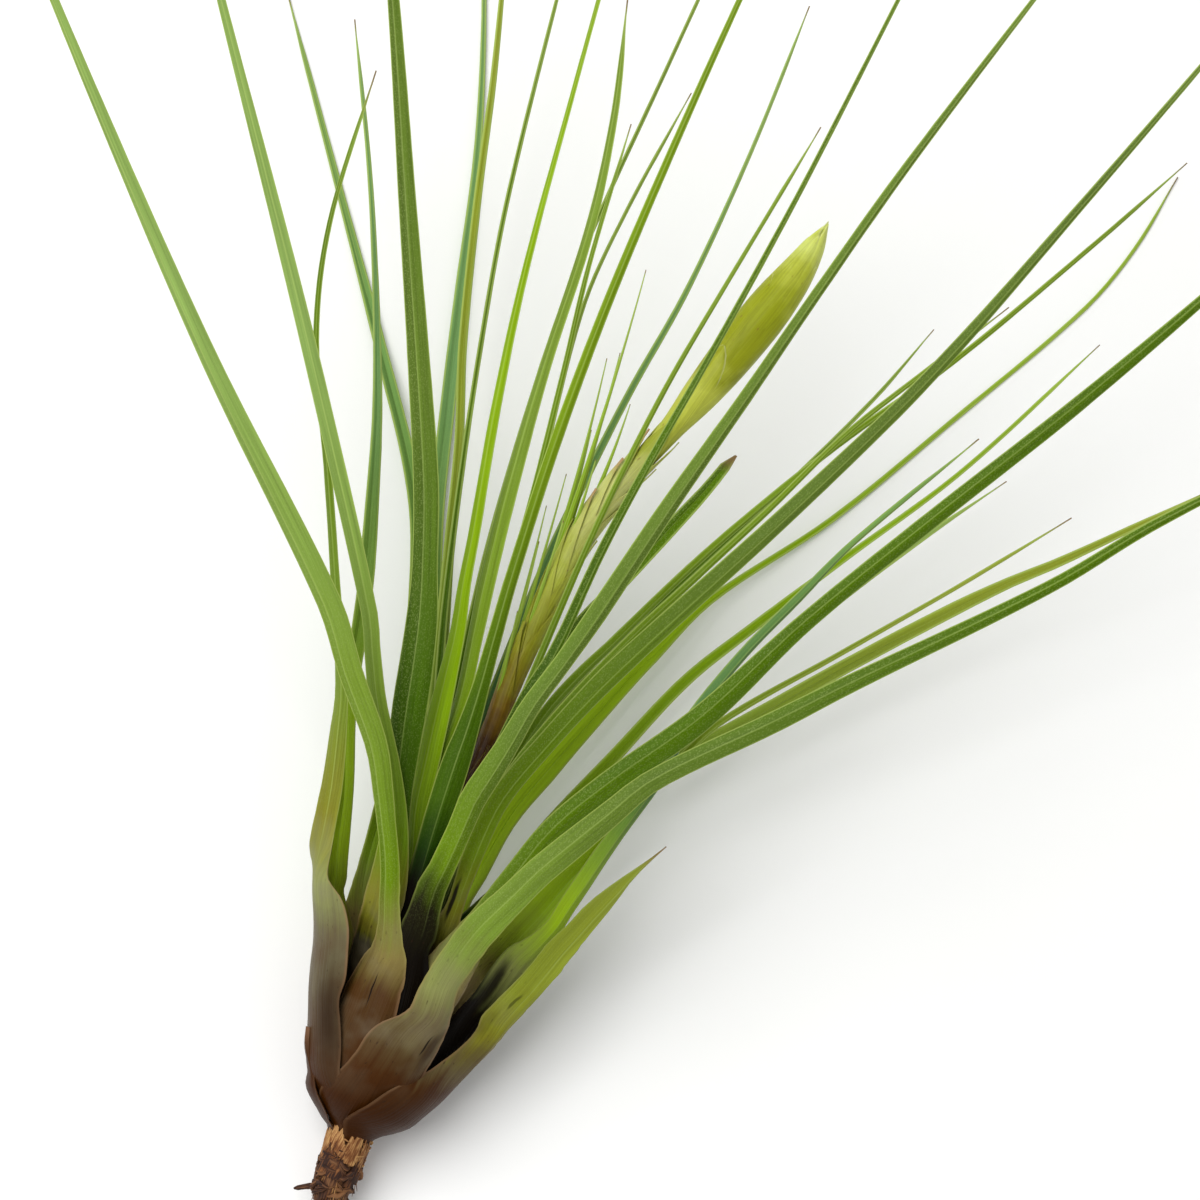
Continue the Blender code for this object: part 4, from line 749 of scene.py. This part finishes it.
def leaf_skin(name, tones, neck, wing, scales, dry, stains_and_painted_light=()):
    """Living bromeliad leaf skin, waxy and satin, over lengthwise veins about 0.4 mm apart. It carries pale,
    powdery scales, has a thin colourless margin, and turns brown and smooth on the sheath."""
    material, tree, shader = start_material(name)
    skin = add(tree, "UVMap", uv_map="surface")
    length = add(tree, "SeparateXYZ", {"Vector": skin}).outputs["Y"]
    place = add(tree, "TexCoord").outputs["Object"]
    # The sheath's brown runs unevenly into the green, over 10 mm or so.
    cloud = add(tree, "TexNoise", {"Vector": place, "Scale": 90.0, "Detail": 3.0})
    drawn = add(tree, "VectorMath", {0: skin, 1: (0.75, 0.022, 0.0)}, operation="MULTIPLY")
    streak = add(tree, "TexNoise", {"Vector": drawn, "Scale": 1.0, "Detail": 3.0})
    shift = add(tree, "Math", {0: cloud, 1: streak}, operation="ADD")
    moved = add(tree, "Math", {0: shift, 1: 10.0, 2: length}, operation="MULTIPLY_ADD")
    reach = add(tree, "MapRange", {"Value": moved, "From Min": 10.0, "From Max": 310.0})
    root, sheath, throat, low, mid, high = [SKIN_TONES[tone] for tone in tones]
    ramp = add(tree, "ValToRGB", {"Fac": reach},
               [(0.045, SKIN_TONES["umber"]), (0.075, root), ((neck - 10) / 300, sheath),
                (neck / 300, throat), ((neck + 14) / 300, low), (0.34, mid), (0.56, high)])
    blade = add(tree, "MapRange", {"Value": length, "From Min": neck - 6.0, "From Max": neck + 20.0})
    # Wings: the two sides of the fold take the light and the scales differently. One wing is painted darker,
    # partly its own darker tone and partly painted shade, and a thin pale line runs along the fold.
    fold = add(tree, "Attribute", attribute_name="fold").outputs["Fac"]
    turned = add(tree, "MapRange",
                 {"Value": fold, "From Min": -0.14, "From Max": 0.14, "To Min": 2 / (1 + wing),
                  "To Max": 2 * wing / (1 + wing)}, interpolation_type="SMOOTHSTEP")
    wing_tone_and_shade = add(tree, "Mix", {0: blade, 2: 1.0, 3: turned})
    grain = add(tree, "VectorMath", {0: skin, 1: (2.6, 0.04, 0.0)}, operation="MULTIPLY")
    vein = add(tree, "TexNoise", {"Vector": grain, "Scale": 1.0, "Detail": 2.0})
    veined = add(tree, "MapRange",
                 {"Value": vein, "From Min": 0.25, "From Max": 0.75, "To Min": 0.86, "To Max": 1.14})
    banded = add(tree, "MapRange",
                 {"Value": streak, "From Min": 0.3, "From Max": 0.7, "To Min": 0.86, "To Max": 1.14})
    ribbed = add(tree, "Math", {0: veined, 1: banded}, operation="MULTIPLY")
    clear = add(tree, "MapRange", {"Value": blade, "To Min": 0.35})
    softened = add(tree, "Mix", {0: clear, 2: 1.0, 3: ribbed})
    bright = add(tree, "Math", {0: wing_tone_and_shade, 1: softened}, operation="MULTIPLY")
    toned = add(tree, "HueSaturation", {"Color": ramp, "Value": bright})
    # Scales: pale dots, drawn 0.35 mm apart because the real ones are too fine to show. They show more
    # strongly on the darker wing.
    dotted = add(tree, "VectorMath", {0: skin, 1: (3.1, 2.6, 0.0)}, operation="MULTIPLY")
    cells = add(tree, "TexVoronoi", {"Vector": dotted, "Scale": 1.0})
    dots = add(tree, "MapRange",
               {"Value": cells, "From Min": 0.12, "From Max": 0.5, "To Min": 1.0, "To Max": 0.0})
    sides = add(tree, "MapRange",
                {"Value": wing_tone_and_shade, "From Min": 0.8, "From Max": 1.2, "To Min": 0.34 * scales,
                 "To Max": 0.2 * scales})
    grown = add(tree, "Math", {0: blade, 1: sides}, operation="MULTIPLY")
    dusted = add(tree, "Math", {0: dots, 1: grown}, operation="MULTIPLY")
    powdered = add(tree, "Mix", {0: dusted, 6: toned, 7: colour("#A2B468")}, data_type="RGBA").outputs[2]
    off_fold = add(tree, "Math", {0: fold}, operation="ABSOLUTE")
    crest = add(tree, "MapRange",
                {"Value": off_fold, "From Min": 0.05, "From Max": 0.22, "To Min": 0.26, "To Max": 0.0})
    crest = add(tree, "Math", {0: crest, 1: blade}, operation="MULTIPLY")
    folded = add(tree, "Mix", {0: crest, 6: powdered, 7: colour("#AFC26C")}, data_type="RGBA").outputs[2]
    # Margin: thin and colourless on the blade, broader, brown and papery on the sheath.
    edge = add(tree, "Attribute", attribute_name="edge").outputs["Fac"]
    papery = add(tree, "MapRange", {"Value": blade, "To Min": 0.4})
    narrow = add(tree, "Math", {0: edge, 1: papery}, operation="MULTIPLY")
    margin = add(tree, "MapRange",
                 {"Value": narrow, "From Min": 0.1, "From Max": 0.3, "To Min": 0.65, "To Max": 0.0})
    # A sheath of one tone throughout, such as an inner leaf's sheath painted near-black for the shade inside
    # the bulb, has no paler margin, and no bloom or painted sheen below.
    paper = root if sheath == root else "#846548"
    rim = add(tree, "ValToRGB", {"Fac": reach},
              [(0.03, "#4C301A"), ((neck - 8) / 300, paper), ((neck + 14) / 300, "#8F9A48"),
               (0.5, "#A6BA60")])
    edged = add(tree, "Mix", {0: margin, 6: folded, 7: rim}, data_type="RGBA").outputs[2]
    # Age: small brown specks on the sheath and the neck, then this leaf's own stains, and its painted light:
    # the painted shade in its creases, slits and hollows, and a painted highlight.
    speckle = add(tree, "VectorMath", {0: skin, 1: (1.3, 0.6, 0.0)}, operation="MULTIPLY")
    speck = add(tree, "TexNoise", {"Vector": speckle, "Scale": 1.0, "Detail": 1.0})
    spotted = add(tree, "MapRange", {"Value": speck, "From Min": 0.69, "From Max": 0.75, "To Max": 0.5})
    on_sheath = add(tree, "Math", {0: 1.0, 1: blade}, operation="SUBTRACT")
    spotted = add(tree, "Math", {0: spotted, 1: on_sheath}, operation="MULTIPLY")
    aged = add(tree, "Mix", {0: spotted, 6: edged, 7: colour("#24140A")}, data_type="RGBA").outputs[2]
    # A grey bloom lies on the sheath in patches 15 mm or so across, partly wax bloom and partly painted satin
    # sheen, worn to a warm brown between them.
    patch = add(tree, "TexNoise", {"Vector": place, "Scale": 75.0, "Detail": 3.0})
    bloom_and_sheen = 0.0 if sheath == root else 0.45
    bloom_and_sheen_zone = add(tree, "MapRange", {"Value": length, "From Min": 15.0, "From Max": 32.0})
    bloom_and_sheen_zone = add(tree, "Math", {0: bloom_and_sheen_zone, 1: on_sheath}, operation="MULTIPLY")
    for low_end, high_end, hex_rgb in ((0.5, 0.72, "#7C745E"), (0.5, 0.3, "#47260A")):
        bloomed = add(tree, "MapRange",
                      {"Value": patch, "From Min": low_end, "From Max": high_end, "To Max": bloom_and_sheen})
        bloomed = add(tree, "Math", {0: bloomed, 1: bloom_and_sheen_zone}, operation="MULTIPLY")
        aged = add(tree, "Mix", {0: bloomed, 6: aged, 7: colour(hex_rgb)}, data_type="RGBA").outputs[2]
    wander = add(tree, "VectorMath", {0: cloud.outputs["Color"], 1: (2.4, 6.0, 0.0), 2: skin},
                 operation="MULTIPLY_ADD")
    for x, y, half_x, half_y, hex_rgb, strength in stains_and_painted_light:
        spot = add(tree, "Mapping", {"Vector": wander, "Location": (x + 1.2, y + 3.0, 0.0),
                                     "Scale": (half_x, half_y, 1.0)}, vector_type="TEXTURE")
        stain_and_light_mask = add(tree, "TexGradient", {"Vector": spot}, gradient_type="SPHERICAL").outputs["Fac"]
        # A broad stain or painted patch fades out more softly than the painted shade of a crease.
        soft_end = min(1.0, 0.5 + half_x / 9)
        stain_and_light_mask = add(tree, "MapRange", {"Value": stain_and_light_mask, "From Max": soft_end, "To Max": strength},
                    interpolation_type="SMOOTHSTEP")
        aged = add(tree, "Mix", {0: stain_and_light_mask, 6: aged, 7: colour(hex_rgb)}, data_type="RGBA").outputs[2]
    part = add(tree, "Attribute", attribute_name="part").outputs["Fac"]
    wither = add(tree, "MapRange", {"Value": part, "From Min": 1 - dry, "To Max": 0.9},
                 interpolation_type="SMOOTHSTEP")
    tipped = add(tree, "Mix", {0: wither, 6: aged, 7: colour("#7A5840")}, data_type="RGBA").outputs[2]
    # Ribs over the veins, and each scale stands a little proud.
    height = add(tree, "Math", {0: dusted, 1: 0.6, 2: vein}, operation="MULTIPLY_ADD")
    bump = add(tree, "Bump", {"Strength": 0.5, "Distance": 0.0003, "Height": height})
    satin = add(tree, "MapRange",
                {"Value": cloud, "From Min": 0.3, "From Max": 0.7, "To Min": 0.34, "To Max": 0.5})
    feed(tree, shader,
         {"Base Color": tipped, "Normal": bump, "Roughness": satin, "Specular IOR Level": 0.07})
    return material


for name, ring, azimuth, wrap, tone, line in LEAVES:
    *tones, neck, fold, wing, scales, dry = SKINS[name]
    leaf = Leaf(name, ring, azimuth, wrap, fold, line)
    title = name.removeprefix("leaf_") + "_leaf"
    bm = start_mesh()
    bend_grid(bm, leaf.rows, OUTER_COLUMNS if ring < OUTER_RINGS else INNER_COLUMNS, leaf.place)
    material = leaf_skin("Leaf skin " + title, tones, neck, wing, scales, dry, STAINS_AND_PAINTED_LIGHT.get(name, ()))
    make_piece(bm, title, material, name, LEAF_THICK)

# Flower stalk. A thin fleshy stalk from the middle of the bulb, wrapped from end to end in overlapping
# bracts, each a small leaf that clasps it. The lower bracts run out to green threads; the upper ones are
# cream, flushed brown at the root and along the margin, and dry to a pinkish tip.
STALK_LINE = [(38, 0.3), (60, 1), (88, 1.5), (100, 2.3), (120, 3.6), (140, 6.2), (150, 8.6), (160, 12),
              (170, 16.5), (182, 21.5), (204, 30), (218, 35), (231, 38.3)]
# The stalk's radius. Like its line, it goes by the distance along the plant.
STALK_RADIUS = [(38, 1.9), (90, 1.8), (135, 2.0), (165, 2.0), (183, 1.7)]
# Bracts: where each starts and ends along the plant, the azimuth it faces, and its flare.
STALK_BRACTS = [
    (60, 98, 80, 0.4), (70, 112, 250, 0.4), (80, 126, 135, 0.9), (90, 132, 40, 0.5), (96, 142, 200, 0.8),
    (104, 149, 15, 0.5), (108, 150, 165, 1.3), (112, 157.7, 150, 1.5), (116, 156, 80, 0.5),
    (122, 160, 10, 0.6), (122, 165.6, 152, 1.4), (130, 168.5, 5, 0.6), (134, 169, 265, 0.6),
    (132, 173.6, 158, 1.3), (140, 175.5, 0, 0.6), (143, 180, 105, 0.6), (152, 181, 230, 0.6),
]
# The old bracts on the left, whose tips have dried.
DRY_TIPS = (7, 10, 13)
BRACT_THICK = 0.4
BRACT_WRAP = math.radians(150)
# A bract's tip is never narrower than this share of its root.
BRACT_POINT = 0.04
# Threads: start along, end along, end across, end toward; then how much wider the root is than the tip.
STALK_THREADS = [
    (86, 152, -1.6, 1.4), (88, 144, -0.7, 2.4), (92, 160, 0.4, 0.6), (95, 128, -0.5, 3.6),
    (100, 140, 7.2, 2.4), (106, 150, 3.0, 3.8), (118, 208, 3.2, 2.5), (120, 187, 1.0, -2.5),
    (124, 171, 2.6, -4), (126, 189, 3.4, -1), (132, 165, 5.6, 3.2), (140, 179, 9.0, -3.5),
]
THREAD_ROOT_WIDTH = 1.6
# Every bract and thread has this many rows of faces, and a core this many columns.
BRACT_ROWS = 24
CORE_COLUMNS = 20


def read_steps(points, where):
    """The value at one place on straight runs between (place, value) points."""
    if where <= points[0][0]:
        return points[0][1]
    for (x0, y0), (x1, y1) in zip(points, points[1:]):
        if where <= x1:
            return y0 + (y1 - y0) * (where - x0) / (x1 - x0)
    return points[-1][1]


def stalk_centre(along):
    return Vector((read_line(STALK_LINE, along), along, 0))


def round_stalk(along, azimuth, turn, radius):
    """The point at a radius from the stalk's centre line, turned by an angle from an azimuth."""
    centre = stalk_centre(along)
    tangent = (stalk_centre(along + 0.5) - stalk_centre(along - 0.5)).normalized()
    outward = spoke(azimuth)
    outward = (outward - tangent * outward.dot(tangent)).normalized()
    return centre + swing(outward, tangent.cross(outward), turn) * radius


def stalk_wall(along, side):
    turn = math.pi * side
    uneven = rough(1.5 * math.cos(turn), 1.5 * math.sin(turn), along * 0.1)
    radius = read_steps(STALK_RADIUS, along) + 0.12 * uneven
    return round_stalk(along, 0, turn, radius), turn * radius, along, *NO_MARGIN, 0.3, 1.0


def stalk_bract(start, end, azimuth, flare, seed):
    """The place rule of one bract, which clasps the stalk at its root and lifts off it towards its tip."""

    def place(part, side):
        along = start + (end - start) * part
        taper = max(BRACT_POINT, math.cos(part * math.pi / 2) ** 1.15)
        turn = side * BRACT_WRAP * taper
        radius = read_steps(STALK_RADIUS, along) + 0.15 + 0.75 * part + flare * part ** 3
        radius += 0.15 * rough(along * 0.2, side * 2, seed) * part
        point = round_stalk(along, math.radians(azimuth), turn, radius)
        edge = (1 - abs(side)) * radius * BRACT_WRAP * taper
        return point, turn * radius, along, edge, turn * radius, part, 1.0 - 0.6 * part

    return place


def stalk_thread(start, end, across, toward, seed):
    """The place rule of one thread, the channelled tip of a bract, which leaves the stalk's line."""

    def place(part, side):
        along = start + (end - start) * part
        root = stalk_centre(start + (end - start) * 0.3 * part)
        centre = root.lerp(Vector((across, end, toward)), part ** 1.2)
        centre.y = along
        width = THREAD_ROOT_WIDTH * (1 - part) + THREAD_WIDTH
        channel = 0.3 * width * (1 - side * side)
        point = centre + Vector((side * width / 2, 0, 0.3 + channel + 0.15 * rough(part * 3, seed, 0)))
        half = width / 2
        return point, side * half, along, (1 - abs(side)) * half, side * half, part, 0.75 - 0.4 * part

    return place


def bract_skin(name, tones, rim, tip, flush):
    """Young bract skin, fleshy, waxy and a little see-through, so it looks soft. The tones change along the
    plant, turn to the rim's along each margin, and fine veins 0.4 mm apart run along it. A bract whose tint
    is 1 has a dry, pinkish tip."""
    material, tree, shader = start_material(name)
    skin = add(tree, "UVMap", uv_map="surface")
    place = add(tree, "TexCoord").outputs["Object"]
    cloud = add(tree, "TexNoise", {"Vector": place, "Scale": 170.0, "Detail": 3.0})
    grain = add(tree, "VectorMath", {0: skin, 1: (2.6, 0.06, 0.0)}, operation="MULTIPLY")
    vein = add(tree, "TexNoise", {"Vector": grain, "Scale": 1.0, "Detail": 2.0})
    length = add(tree, "SeparateXYZ", {"Vector": skin}).outputs["Y"]
    moved = add(tree, "Math", {0: cloud, 1: 24.0, 2: length}, operation="MULTIPLY_ADD")
    reach = add(tree, "MapRange", {"Value": moved, "From Min": 12.0, "From Max": 312.0})
    ramp = add(tree, "ValToRGB", {"Fac": reach}, [(along / 300, tone) for along, tone in tones])
    veined = add(tree, "MapRange",
                 {"Value": vein, "From Min": 0.25, "From Max": 0.75, "To Min": 0.84, "To Max": 1.16})
    toned = add(tree, "HueSaturation", {"Color": ramp, "Value": veined})
    part = add(tree, "Attribute", attribute_name="part").outputs["Fac"]
    edge = add(tree, "Attribute", attribute_name="edge").outputs["Fac"]
    margin = add(tree, "MapRange",
                 {"Value": edge, "From Min": 0.05, "From Max": 0.5, "To Min": flush, "To Max": 0.0})
    warm = add(tree, "Math", {0: margin, 1: cloud}, operation="MULTIPLY")
    edged = add(tree, "Mix", {0: warm, 6: toned, 7: colour(rim)}, data_type="RGBA").outputs[2]
    # A few small brown marks.
    speckle = add(tree, "VectorMath", {0: skin, 1: (0.9, 0.45, 0.0)}, operation="MULTIPLY")
    speck = add(tree, "TexNoise", {"Vector": speckle, "Scale": 1.0, "Detail": 1.0})
    spotted = add(tree, "MapRange", {"Value": speck, "From Min": 0.72, "From Max": 0.79, "To Max": 0.5})
    marked = add(tree, "Mix", {0: spotted, 6: edged, 7: colour("#7A5228")}, data_type="RGBA").outputs[2]
    wither = add(tree, "MapRange", {"Value": part, "From Min": 0.88, "To Max": 0.85},
                 interpolation_type="SMOOTHSTEP")
    tint = add(tree, "Attribute", attribute_name="tint").outputs["Fac"]
    dry = add(tree, "Math", {0: wither, 1: tint}, operation="MULTIPLY")
    tipped = add(tree, "Mix", {0: dry, 6: marked, 7: colour(tip)}, data_type="RGBA").outputs[2]
    bump = add(tree, "Bump", {"Strength": 0.45, "Distance": 0.0003, "Height": vein})
    satin = add(tree, "MapRange", {"Value": cloud, "To Min": 0.3, "To Max": 0.5})
    feed(tree, shader,
         {"Base Color": tipped, "Normal": bump, "Roughness": satin, "Specular IOR Level": 0.14,
          "Subsurface Weight": 0.15, "Subsurface Radius": (0.0012, 0.0014, 0.0004),
          "Subsurface Scale": 1.0})
    return material


stalk_skin = bract_skin("Flower stalk bract skin",
                        [(80, "#2C1605"), (96, "#3C2208"), (108, "#70550F"), (122, "#8C8C20"),
                         (140, "#A3AB3C"), (152, "#B4B862"), (160, "#C3C676"), (172, "#A3AB3A"),
                         (182, "#8E9828")],
                        "#8E7C36", "#A87C62", 0.3)
bm = start_mesh()
core_rows = spread(STALK_RADIUS[0][0], STALK_RADIUS[-1][0], 60)
bend_grid(bm, core_rows, CORE_COLUMNS, stalk_wall, closed=True)
make_piece(bm, "flower_stalk_core", stalk_skin, "flower_stalk")

bm = start_mesh()
for seed, bract in enumerate(STALK_BRACTS):
    bend_grid(bm, spread(0, 1, BRACT_ROWS), 16, stalk_bract(*bract, seed), float(seed in DRY_TIPS))
make_piece(bm, "flower_stalk_bracts", stalk_skin, "flower_stalk", BRACT_THICK)

bm = start_mesh()
for seed, thread in enumerate(STALK_THREADS):
    bend_grid(bm, spread(0, 1, BRACT_ROWS), 6, stalk_thread(*thread, seed))
THREAD_TONES = ("leaf", "leaf", "leaf", "grass", "lime", "lime")
thread_skin = leaf_skin("Bract thread skin", THREAD_TONES, 60, 1.1, 0.2, 0.02)
make_piece(bm, "flower_stalk_threads", thread_skin, "flower_stalk", LEAF_THICK)

# Flower spike. The unopened head at the stalk's end: fat, waxy yellow-green bracts like the bowls of spoons,
# each folded over the next and pressed flat into a pointed bud, with the flowers still shut inside.
SPIKE_RADIUS = [(166, 1.9), (177, 2.5), (185.5, 3.6), (196, 4.4), (207, 4.6), (214.6, 3.9), (221, 2.8),
                (225, 1.9), (228, 0.9), (230, 0.15)]
# The core lies this far inside the bracts.
SPIKE_SINK = 0.35
# Bracts: where each starts and ends along the plant, the azimuth it faces, and how far its tip curls out.
SPIKE_BRACTS = [
    (160, 190, 300, 0.3), (164, 196.5, 125, 1.0), (168, 203, 235, 0.2), (170, 207, -12, 0.3),
    (176, 214.6, 158, 0.6), (180, 218, 260, 0.2), (184, 221, 25, 0.2), (188, 224, 300, 0.1),
    (190, 225.6, 165, 0.3), (193, 227, 100, 0.1), (196, 229.6, 60, 0.0), (198, 229, 250, 0.0),
    (202, 230.2, 350, 0.0), (205, 230.6, 150, 0.0),
]
SPIKE_THICK = 0.45
SPIKE_WRAP = math.radians(115)


def spike_core(along, side):
    turn = math.pi * side
    radius = max(0.1, read_line(SPIKE_RADIUS, along) - SPIKE_SINK)
    return round_stalk(along, 0, turn, radius), turn * radius, along, *NO_MARGIN, 0.3, 1.0


def spike_bract(start, end, azimuth, curl):
    """The place rule of one spoon-shaped bract, with a low keel and its margins tucked in."""

    def place(part, side):
        along = start + (end - start) * part
        taper = max(BRACT_POINT, math.cos(part * math.pi / 2) ** 0.6)
        turn = side * SPIKE_WRAP * taper
        full = read_line(SPIKE_RADIUS, along)
        lift = 0.1 + (0.3 * part + 0.35 * curl * part ** 6) * min(1.0, full / 2)
        lift -= 0.35 * ease(abs(side), 0.7, 1) * part
        keel = 0.3 * (1 - abs(side)) ** 2 * math.sin(math.pi * part)
        radius = full + lift + keel
        point = round_stalk(along, math.radians(azimuth), turn, radius)
        share = (1.0 - 0.5 * part) * min(1.0, full / 2)
        edge = (1 - abs(side)) * radius * SPIKE_WRAP * taper
        return point, turn * radius, along, edge, turn * radius, part, share

    return place


spike_skin = bract_skin("Flower spike bract skin",
                        [(165, "#A9B03A"), (184, "#BCC248"), (196, "#929818"), (208, "#949C14"),
                         (218, "#B0B83A"), (228, "#CFDA6C")],
                        "#E2E6A4", "#B5A468", 1.2)
bm = start_mesh()
core_rows = spread(SPIKE_RADIUS[0][0], SPIKE_RADIUS[-1][0], 34)
bend_grid(bm, core_rows, CORE_COLUMNS, spike_core, closed=True)
make_piece(bm, "flower_spike_core", spike_skin, "flower_spike")

bm = start_mesh()
for bract in SPIKE_BRACTS:
    bend_grid(bm, spread(0, 1, BRACT_ROWS), 18, spike_bract(*bract))
make_piece(bm, "flower_spike_bracts", spike_skin, "flower_spike", SPIKE_THICK)

# Table, light and camera. A plain white board, one large soft lamp over the plant's upper left, and a
# camera that looks down on it square to the plant, with the stem at the lower left as in the photograph.
TABLE_HALF = 3.0
# The board lies this far under the plant, so that the two don't meet in one plane.
TABLE_DROP = 0.0002
CAMERA_DISTANCE = 2.0
FRAME_WIDTH = 0.264
SENSOR_WIDTH = 36
AIM = lay_down((16.0, 135.9, 0.0))
PLANT_TURN = math.radians(18)
# The lamp: how wide it is, its power, and how far toward the viewer, to the left and up the frame it hangs.
LAMP_WIDTH = 1.7
LAMP_POWER = 27
LAMP_TOWARD = 1.45
LAMP_LEFT = 0.7
LAMP_UP = 0.5
ROOM_LIGHT = 0.54


def table_finish():
    """Matt white board, sprayed and sanded. It looks an even white, with a very faint cloudiness."""
    material, tree, shader = start_material("Matt white board")
    place = add(tree, "TexCoord").outputs["Object"]
    cloud = add(tree, "TexNoise", {"Vector": place, "Scale": 6.0, "Detail": 2.0})
    ramp = add(tree, "ValToRGB", {"Fac": cloud}, [(0.2, "#F4F4F2"), (0.8, "#FAFAF9")])
    feed(tree, shader, {"Base Color": ramp, "Roughness": 0.9})
    return material


bm = bmesh.new()
bmesh.ops.create_grid(bm, x_segments=2, y_segments=2, size=TABLE_HALF)
bmesh.ops.translate(bm, verts=bm.verts[:], vec=(0, 0, -TABLE_DROP))
mesh = bpy.data.meshes.new("table")
bm.to_mesh(mesh)
bm.free()
mesh.materials.append(table_finish())
table = bpy.data.objects.new("table", mesh)
bpy.context.scene.collection.objects.link(table)

toward_viewer = Vector((0, -math.sin(LIE_ANGLE), math.cos(LIE_ANGLE)))
along_plant = Vector((0, math.cos(LIE_ANGLE), math.sin(LIE_ANGLE)))
right = Vector((math.cos(PLANT_TURN), 0, 0)) + along_plant * math.sin(PLANT_TURN)
up = along_plant * math.cos(PLANT_TURN) - Vector((math.sin(PLANT_TURN), 0, 0))

lens = bpy.data.cameras.new("camera")
lens.sensor_width = SENSOR_WIDTH
lens.lens = SENSOR_WIDTH * CAMERA_DISTANCE / FRAME_WIDTH
lens.clip_start = 0.05
lens.clip_end = 20
camera = bpy.data.objects.new("camera", lens)
bpy.context.scene.collection.objects.link(camera)
camera_turn = Matrix((right, up, toward_viewer)).transposed().to_4x4()
camera.matrix_world = Matrix.Translation(AIM + toward_viewer * CAMERA_DISTANCE) @ camera_turn
bpy.context.scene.camera = camera

lamp = bpy.data.lights.new("soft lamp", "AREA")
lamp.shape = "DISK"
lamp.size = LAMP_WIDTH
lamp.energy = LAMP_POWER
soft_lamp = bpy.data.objects.new("soft lamp", lamp)
bpy.context.scene.collection.objects.link(soft_lamp)
lamp_place = AIM + (toward_viewer * LAMP_TOWARD - right * LAMP_LEFT + up * LAMP_UP)
lamp_turn = (lamp_place - AIM).to_track_quat("Z", "Y")
soft_lamp.matrix_world = Matrix.Translation(lamp_place) @ lamp_turn.to_matrix().to_4x4()

world = bpy.data.worlds.new("studio")
world.use_nodes = True
room = world.node_tree.nodes["Background"]
feed(world.node_tree, room, {"Color": colour("#FFFFFF"), "Strength": ROOM_LIGHT})
bpy.context.scene.world = world
bpy.context.scene.view_settings.view_transform = "Standard"
